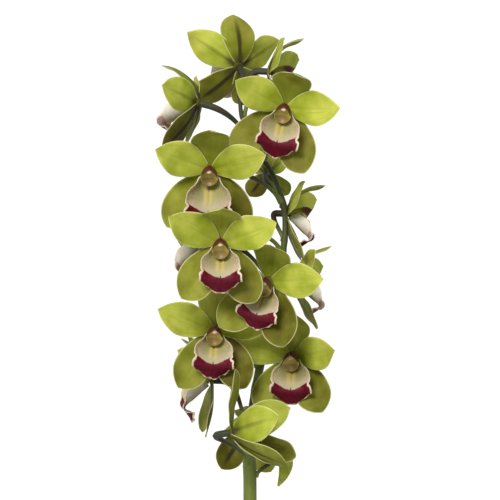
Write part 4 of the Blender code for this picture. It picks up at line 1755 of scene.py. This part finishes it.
@dataclass(frozen=True)
class Leaf:
    """A strap leaf: azimuth from +X, length, steepness at its foot, total bend and width."""

    azimuth: float
    length: float
    rise: float
    bend: float
    width: float
    foot_out: float = 3.5
    steps: int = 90

    def half_width(self, t: float) -> float:
        """Half its width at share t of its length."""
        tip = max(0.015, 1 - max(0.0, (t - 0.55) / 0.45) ** 2.2)
        return self.width / 2 * (0.42 + 0.58 * smooth(t / 0.4)) * tip

    def line(self) -> list[tuple[float, float, float]]:
        """Its centre line as (distance out, height, slope) at even steps."""
        rise, bend = math.radians(self.rise), math.radians(self.bend)
        out, up, line = self.foot_out, 0.0, []
        for step in range(self.steps + 1):
            line.append((out, up, rise - bend * (step / self.steps) ** 1.5))
            slope = rise - bend * ((step + 0.5) / self.steps) ** 1.5
            out += math.cos(slope) * self.length / self.steps
            up += math.sin(slope) * self.length / self.steps
        return line

    def point(self, line: list[tuple[float, float, float]], u: float, t: float, seed: float) -> Vector:
        """Finds a point of its middle surface.

        Args:
            line: its centre line.
            u: how far across, from -1 to 1.
            t: how far along, from 0 to 1.
            seed: makes its waves its own.

        Returns:
            The point in millimetres, with the leaf along +X.
        """
        out, up, slope = line[round(t * self.steps)]
        half = self.half_width(t)
        fold = 1.15 * (1 - smooth(t / 0.25)) + 0.40 * (1 - 0.55 * t)
        lift = fold * (math.sqrt(u * u + 0.012) - 0.11) * half
        lift += 0.7 * u * wander(seed, 5 * t) * smooth(t / 0.2)
        lift += 0.5 * abs(u) * wander(seed + 9, 9 * t, u)
        squeeze = 1 - 0.30 * (1 - smooth(t / 0.25))
        spread = -u * half * squeeze + 1.6 * wander(seed + 4, 1.6 * t) * smooth(t / 0.3)
        return Vector((out - math.sin(slope) * lift, spread, up + math.cos(slope) * lift))


@dataclass(frozen=True)
class Pseudobulb:
    """A pseudobulb of the clump, with the fan of leaves that it bears."""

    name: str
    place: tuple[float, float]
    height: float
    radius: float
    turn: float
    leaves: tuple[Leaf, ...]
    mix_top: float = MIX_TOP
    sunk: float = 14.0
    # Azimuth, foot and tip of each sheath, from the top of the bulb
    sheaths: tuple[tuple[float, float, float], ...] = ((20, -17, 26), (205, -13, 32), (110, -15, 20))
    sides: int = 72
    rows: int = 40

    @property
    def crown(self) -> float:
        """The height of its top."""
        return self.mix_top - self.sunk + self.height

    def girth(self, share: float) -> float:
        """Its radius at share of its height, over its greatest."""
        z = 2 * share - 1
        return math.sqrt(max(0.0, 1 - z * z)) * (1 - 0.30 * z - 0.10 * z * z)

    def build(self, wardrobe: Wardrobe) -> None:
        """Makes the bulb and its leaf fan."""
        self._bulb(wardrobe.bulb)
        self._fan(wardrobe.leaf)

    def _bulb(self, finish: bpy.types.Material) -> None:
        """Makes the ribbed bulb.

        Args:
            finish: its material.
        """
        shell = Shell("height")
        rings, marks = [], []
        seed = self.radius + self.turn
        for row in range(1, self.rows):
            share = 0.5 - 0.5 * math.cos(math.pi * row / self.rows)
            ring = []
            for side in range(self.sides):
                angle = math.tau * side / self.sides
                ribs = 0.28 * math.sin(angle * 17 + 2 * wander(seed, share * 2)) * smooth(share * 3)
                scar = -0.45 * bell(share * 4 % 1 - 0.5, 0.06)
                lump = 0.7 * wander(seed + 1, 2 * math.cos(angle), 2 * math.sin(angle) + 3 * share)
                reach = self.radius * self.girth(share) + (ribs + scar + lump) * self.girth(share)
                ring.append(Vector((reach * math.cos(angle), 0.82 * reach * math.sin(angle),
                                    self.height * share)))
            rings.append(ring)
            marks.append([dict(height=share)] * self.sides)
        place = (Matrix.Translation(Vector((*self.place, self.mix_top - self.sunk)) * MM)
                 @ Matrix.Rotation(math.radians(self.turn), 4, "Z") @ Matrix.Scale(MM, 4))
        shell.loft(rings, place, marks)
        stand_for(shell.piece(f"bulb_{self.name}", finish), Slot.BULB, f"pseudobulb_{self.name}")

    def _fan(self, finish: bpy.types.Material) -> None:
        """Makes the leaves and the sheaths that hold their feet together.

        Args:
            finish: their material.
        """
        shell = Shell("edge_mm", "back", "tone")
        middle = Matrix.Translation(Vector((*self.place, self.crown)) * MM)
        for number, leaf in enumerate(self.leaves):
            seed = leaf.azimuth * 0.13 + number
            line = leaf.line()
            place = (middle @ Matrix.Translation((0, 0, 4 * MM))
                     @ Matrix.Rotation(math.radians(leaf.azimuth), 4, "Z") @ Matrix.Scale(MM, 4))
            tone = random.Random(int(leaf.azimuth * 10) + 5000).random()
            shell.sheet(lambda u, v, leaf=leaf, line=line, seed=seed: leaf.point(line, u, v, seed),
                        60, 10, lambda u, v: 1.1 - 0.5 * v, leaf.half_width, leaf.length, place,
                        lambda u, v, tone=tone: dict(tone=tone))
        for number, (azimuth, low, high) in enumerate(self.sheaths):
            shell.sheet(self._sheath(math.radians(azimuth + self.turn), low, high, 0.55 * number), 22, 22,
                        lambda u, v: 0.7, lambda v: 20 * (1 - 0.6 * v * v), high - low,
                        middle @ Matrix.Scale(MM, 4), lambda u, v: dict(tone=0.6))
        stand_for(shell.piece(f"leaves_{self.name}", finish), Slot.LEAF, f"leaf_fan_{self.name}")

    def _sheath(self, azimuth: float, low: float, high: float, out: float) -> Surface:
        """Shapes a sheath that wraps the top of the bulb and closes on the leaves.

        Args:
            azimuth: the side that its middle is on.
            low: its foot, from the top of the bulb.
            high: its tip, from the same.
            out: how far it lies outside the others.

        Returns:
            Its middle surface.
        """

        def surface(u: float, v: float) -> Vector:
            """Finds a point of the sheath.

            Args:
                u: how far round, from -1 to 1.
                v: how far up, from 0 to 1.

            Returns:
                The point in millimetres.
            """
            z = low + (high - low) * v
            share = min(1.0, max(0.0, 1 + z / self.height))
            on_bulb = self.radius * 0.92 * self.girth(min(share, 0.995))
            radius = max(on_bulb, 8.6 - 0.03 * z) + 0.9 + out
            wrap = azimuth - u * math.radians(150 - 125 * v ** 2.2)
            radius += 0.3 * wander(azimuth, u * 4, v * 3)
            return Vector((radius * math.cos(wrap), radius * math.sin(wrap), z))

        return surface


BULBS = (
    Pseudobulb("left", (-37, 12), 74, 21, 20, (
        Leaf(112, 300, 80, 118, 21), Leaf(136, 345, 76, 128, 23), Leaf(160, 300, 68, 118, 23),
        Leaf(182, 350, 78, 140, 24), Leaf(206, 285, 66, 112, 22), Leaf(230, 320, 76, 130, 21),
    )),
    Pseudobulb("right", (37, 14), 78, 22, -25, (
        Leaf(70, 310, 80, 120, 22), Leaf(46, 345, 74, 126, 23), Leaf(22, 290, 66, 112, 23),
        Leaf(-2, 350, 78, 142, 24), Leaf(-24, 300, 68, 116, 23), Leaf(-46, 330, 77, 130, 21),
    )),
    Pseudobulb("front", (4, -40), 66, 20, 5, (
        Leaf(246, 300, 72, 122, 21), Leaf(262, 330, 80, 146, 22), Leaf(281, 290, 68, 116, 22),
        Leaf(299, 320, 78, 136, 21), Leaf(272, 210, 84, 90, 17),
    )),
)


# ---- Pot and bark ----


@dataclass
class Pot:
    """A plain tapered pot with a rolled rim and drain holes."""

    height: float = POT_HEIGHT
    top_radius: float = 84.0
    base_radius: float = 62.0
    wall: float = 4.5
    floor: float = 6.0
    rim_height: float = 17.0
    rim_proud: float = 3.0
    drain_holes: int = 6
    drain_radius: float = 2.5
    drain_circle: float = 38.0
    sides: int = 128

    def inner_radius(self, height: float) -> float:
        """The radius of its inside at a height."""
        slope = (self.top_radius - self.rim_proud - self.base_radius) / self.height
        return self.base_radius + slope * height - self.wall

    def profile(self) -> list[tuple[float, float]]:
        """Its outline as (radius, height), from the middle of its floor up, over and down.

        Returns:
            The pairs, with rounded edges.
        """
        rim_foot = self.height - self.rim_height
        top, outer = self.height, self.top_radius
        body_top = self.inner_radius(rim_foot) + self.wall
        inside = self.inner_radius(self.floor)
        line = [(6, self.floor), (inside - 3, self.floor), (inside - 0.9, self.floor + 0.9),
                (self.inner_radius(self.floor + 3), self.floor + 3)]
        line += [(self.inner_radius(h), h) for h in (30, 60, 90, 120, 138, top - 2.4)]
        mouth = self.inner_radius(top)
        line += [(mouth + 0.5, top - 0.9), (mouth + 1.5, top - 0.15), (mouth + 2.6, top), (outer - 2.2, top),
                 (outer - 0.9, top - 0.4), (outer - 0.15, top - 1.6), (outer, top - 3.0)]
        line += [(outer - 0.5, rim_foot + 6), (outer - 0.9, rim_foot + 2.0), (outer - 1.4, rim_foot + 0.7),
                 (outer - 2.3, rim_foot + 0.1), (body_top + 0.3, rim_foot - 0.5), (body_top, rim_foot - 1.8)]
        line += [(self.inner_radius(h) + self.wall, h) for h in (110, 80, 50, 25, 8)]
        foot = self.base_radius
        line += [(foot + 0.4, 3.0), (foot + 0.1, 1.2), (foot - 0.7, 0.3), (foot - 2, 0), (foot - 8, 0),
                 (foot - 9.5, 0.9), (6, 0.9)]
        return line

    def build(self, wardrobe: Wardrobe) -> None:
        """Makes the pot and bores its drain holes.

        Args:
            wardrobe: the finishes.
        """
        shell = Shell()
        rings = [hoop(radius, height, self.sides) for radius, height in self.profile()]
        shell.loft(rings, Matrix.Scale(MM, 4))
        pot = shell.piece("pot_body", wardrobe.ceramic)
        drills = [self._drill(hole) for hole in range(self.drain_holes)]
        for drill in drills:
            bore = pot.modifiers.new("drain", "BOOLEAN")
            bore.operation = "DIFFERENCE"
            bore.solver = "EXACT"
            bore.object = drill
        seen = pot.evaluated_get(bpy.context.evaluated_depsgraph_get())
        bored = bpy.data.meshes.new_from_object(seen)
        pot.modifiers.clear()
        pot.data = bored
        for drill in drills:
            bpy.data.objects.remove(drill, do_unlink=True)
        stand_for(pot, Slot.CERAMIC, "pot")

    def _drill(self, hole: int) -> bpy.types.Object:
        """Makes a round cutter for a drain hole.

        Args:
            hole: which one.

        Returns:
            The cutter.
        """
        angle = math.tau * (hole + 0.6) / self.drain_holes
        centre = Vector((math.cos(angle), math.sin(angle), 0)) * self.drain_circle
        centre.z = self.floor / 2
        bm = bmesh.new()
        bmesh.ops.create_cone(bm, cap_ends=True, segments=24, radius1=self.drain_radius * MM,
                              radius2=self.drain_radius * MM, depth=4 * self.floor * MM,
                              matrix=Matrix.Translation(centre * MM))
        return put("drill", settle("drill", bm))


class ScatterTree(GrowthTree):
    """Scatters chips over a surface, each picked, turned, tilted and sized by chance."""

    DENSEST = 60000.0
    SMALLEST, LARGEST = 0.65, 1.25

    def __init__(self, chips: bpy.types.Collection) -> None:
        """Builds the tree round a collection of chips."""
        super().__init__("bark_scatter")
        apart, seed = self.size("Apart"), self.size("Seed", "Int")
        tilt, finish = self.size("Tilt"), self.size("Finish", "Material")
        points = self.node("GeometryNodeDistributePointsOnFaces", {"distribute_method": "POISSON"}, {
            "Mesh": self.source, "Distance Min": apart, "Density Max": self.DENSEST, "Seed": seed})
        shapes = self.node("GeometryNodeCollectionInfo", sockets={
            "Collection": chips, "Separate Children": True, "Reset Children": True})
        lean = [self._chance(0 - tilt, tilt, seed + axis) for axis in (1, 2)]
        spin = self._chance(0.0, math.tau, seed + 3)
        turn = self.node("ShaderNodeCombineXYZ", sockets={0: lean[0], 1: lean[1], 2: spin})
        placed = self.node("GeometryNodeInstanceOnPoints", sockets={
            "Points": points, "Instance": shapes, "Pick Instance": True,
            "Rotation": turn, "Scale": self._chance(self.SMALLEST, self.LARGEST, seed + 4)})
        shade = self._chance(0.0, 1.0, seed + 5)
        placed = self.node("GeometryNodeStoreNamedAttribute", {"data_type": "FLOAT", "domain": "INSTANCE"},
                           {"Geometry": placed, "Name": "shade", "Value": shade})
        self.close(placed, finish)

    def _chance(self, low: Wire | float, high: Wire | float, seed: Wire) -> Wire:
        """A random number between two others."""
        return self.node("FunctionNodeRandomValue", {"data_type": "FLOAT"},
                         {2: low, 3: high, "Seed": seed}, output=1)


@dataclass
class BarkMix:
    """The potting mix: a dark body, domed a little, under a layer of coarse bark chips."""

    pot: Pot
    top: float = MIX_TOP
    dome: float = 5.0
    gap: float = 0.4
    chip: float = 11.0
    shapes: int = 6
    apart: float = 5.6
    tilt: float = 0.5
    # Seed, spacing over the closest and height over the body, for each layer of chips
    layers: tuple[tuple[int, float, float], ...] = ((3, 1.0, -1.2), (11, 1.5, 1.2))

    def build(self, wardrobe: Wardrobe) -> None:
        """Makes the body and the chips on it.

        Args:
            wardrobe: the finishes.
        """
        self._body(wardrobe.bark)
        chips = self._chips()
        tree = ScatterTree(chips)
        for number, (seed, spacing, lift) in enumerate(self.layers, 1):
            piece = tree.grow(self._ground(lift), f"bark_chips_{number}", Seed=seed, Tilt=self.tilt,
                              Apart=self.apart * spacing * MM, Finish=wardrobe.bark)
            stand_for(piece, Slot.BARK, "bark_mix")
        for chip in list(chips.objects):
            bpy.data.objects.remove(chip, do_unlink=True)
        bpy.data.collections.remove(chips)

    def _height(self, radius: float) -> float:
        """The height of the mix at a distance from its middle."""
        return self.top - 2.5 - self.dome * (radius / (self.pot.inner_radius(self.top))) ** 2

    def _body(self, finish: bpy.types.Material) -> None:
        """Makes the body of the mix, lumpy on top.

        Args:
            finish: its material.
        """
        shell = Shell("shade")
        rim = self.pot.inner_radius(self.top - self.dome) - self.gap - 0.6
        foot = self.pot.floor + self.gap
        sides = 64
        profile = [(3 + (rim - 3) * k / 20, None) for k in range(21)]
        profile += [(self.pot.inner_radius(z) - self.gap - 0.3, z) for z in (118, 90, 60, 30, foot + 1)]
        profile += [(self.pot.inner_radius(foot) - 4, foot), (4, foot)]
        rings = []
        for radius, height in profile:
            ring = []
            for side in range(sides):
                angle = math.tau * side / sides
                x, y = radius * math.cos(angle), radius * math.sin(angle)
                z = self._height(radius) + 1.2 * wander(1.0, x * 0.15, y * 0.15) if height is None else height
                ring.append(Vector((x, y, z)))
            rings.append(ring)
        shell.loft(rings, Matrix.Scale(MM, 4), [[dict(shade=0.1)] * sides] * len(rings))
        stand_for(shell.piece("mix_body", finish), Slot.BARK, "bark_mix")

    def _ground(self, lift: float) -> bpy.types.Object:
        """Makes the domed disc that chips are scattered on.

        Args:
            lift: its height over the body.

        Returns:
            The disc.
        """
        bm = bmesh.new()
        reach = self.pot.inner_radius(self.top) - self.chip * 0.62
        bmesh.ops.create_circle(bm, cap_ends=True, segments=48, radius=reach * MM)
        bmesh.ops.poke(bm, faces=bm.faces)
        bmesh.ops.subdivide_edges(bm, edges=bm.edges, cuts=3, use_grid_fill=True)
        for vertex in bm.verts:
            vertex.co.z = (self._height(vertex.co.xy.length / MM) + lift) * MM
        return put("ground", settle("ground", bm))

    def _chips(self) -> bpy.types.Collection:
        """Makes a few chips: flattened, broken blocks of bark.

        Returns:
            The collection that holds them, which isn't rendered.
        """
        chance = random.Random(42)
        chips = bpy.data.collections.new("chips")
        bpy.context.scene.collection.children.link(chips)
        for number in range(self.shapes):
            bm = bmesh.new()
            bmesh.ops.create_cube(bm, size=1)
            bmesh.ops.subdivide_edges(bm, edges=bm.edges, cuts=1, use_grid_fill=True)
            long, wide, thick = (self.chip * chance.uniform(0.8, 1.2), self.chip * chance.uniform(0.5, 0.85),
                                 self.chip * chance.uniform(0.22, 0.45))
            for vertex in bm.verts:
                x, y, z = vertex.co
                rounding = 1 - 0.22 * (abs(x) + abs(y) + abs(z) - 0.5)
                jitter = [chance.uniform(-0.09, 0.09) for _ in range(3)]
                vertex.co = Vector(((x + jitter[0]) * long, (y + jitter[1]) * wide,
                                    (z + jitter[2]) * thick)) * rounding * MM
            name = f"chip_{number}"
            chips.objects.link(bpy.data.objects.new(name, settle(name, bm)))
        return chips


# ---- Studio ----


@dataclass
class Studio:
    """A pale floor, a bright surround behind the plant, a soft key from the upper left, a camera."""

    eye: tuple[float, float, float] = (0.0, -1.6, 0.625)
    lens: float = 128.0
    floor_radius: float = 2.2
    behind: float = 1.10
    ahead: float = 0.32
    key_watts: float = 46.0
    key_place: tuple[float, float, float] = (-0.5, -1.7, 1.5)
    key_size: float = 0.7
    aim: tuple[float, float, float] = (0.0, 0.0, 0.60)

    def build(self, wardrobe: Wardrobe) -> None:
        """Sets up the floor, the surround, the lights and the camera.

        Args:
            wardrobe: the finishes.
        """
        self._floor(wardrobe.floor)
        self._surround()
        self._key()
        self._camera()
        bpy.context.scene.view_settings.view_transform = "Standard"

    def _floor(self, finish: bpy.types.Material) -> None:
        """Makes the floor disc.

        Args:
            finish: its material.
        """
        bm = bmesh.new()
        bmesh.ops.create_circle(bm, cap_ends=True, segments=96, radius=self.floor_radius)
        floor = put("floor", settle("floor", bm))
        floor.data.materials.append(finish)

    def _surround(self) -> None:
        """Makes the world white behind the plant and softer in front of it."""
        world = bpy.data.worlds.new("surround")
        world.use_nodes = True
        bpy.context.scene.world = world
        g = Graph(world.node_tree)
        way = g.node("ShaderNodeTexCoord", output="Generated")
        parts = g.node("ShaderNodeSeparateXYZ", sockets={0: way}, output="Y")
        strength = self.ahead + (self.behind - self.ahead) * parts.step(-0.25, 0.35)
        shade = world.node_tree.nodes["Background"]
        shade.inputs["Color"].default_value = (1, 1, 1, 1)
        g.feed(shade.inputs["Strength"], strength)

    def _key(self) -> None:
        """Hangs the soft key light."""
        light = bpy.data.lights.new("key", "AREA")
        light.energy = self.key_watts
        light.shape = "DISK"
        light.size = self.key_size
        hung = put("key", light)
        hung.location = self.key_place
        away = Vector(self.aim) - Vector(self.key_place)
        hung.rotation_euler = away.to_track_quat("-Z", "Y").to_euler()

    def _camera(self) -> None:
        """Puts the camera level with the middle of the flowers."""
        camera = bpy.data.cameras.new("camera")
        camera.lens = self.lens
        camera.sensor_width = 36.0
        held = put("camera", camera)
        held.location = self.eye
        held.rotation_euler = (math.pi / 2, 0, 0)
        bpy.context.scene.camera = held


def main() -> None:
    """Builds the orchid over its frame."""
    logging.basicConfig(level=logging.INFO, format="%(name)s: %(message)s")
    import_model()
    wardrobe = Wardrobe()
    Studio().build(wardrobe)
    pot = Pot()
    pot.build(wardrobe)
    BarkMix(pot).build(wardrobe)
    for bulb in BULBS:
        bulb.build(wardrobe)
    stalks = StalkTree()
    stem = Stem()
    stem.build(wardrobe, stalks)
    for bract in BRACTS:
        bract.build(wardrobe)
    for number, bloom in enumerate(BLOOMS, 1):
        Flower(number, bloom).build(wardrobe, stalks, stem)
    Bud(stem).build(wardrobe, stalks)


if __name__ == "__main__":
    main()
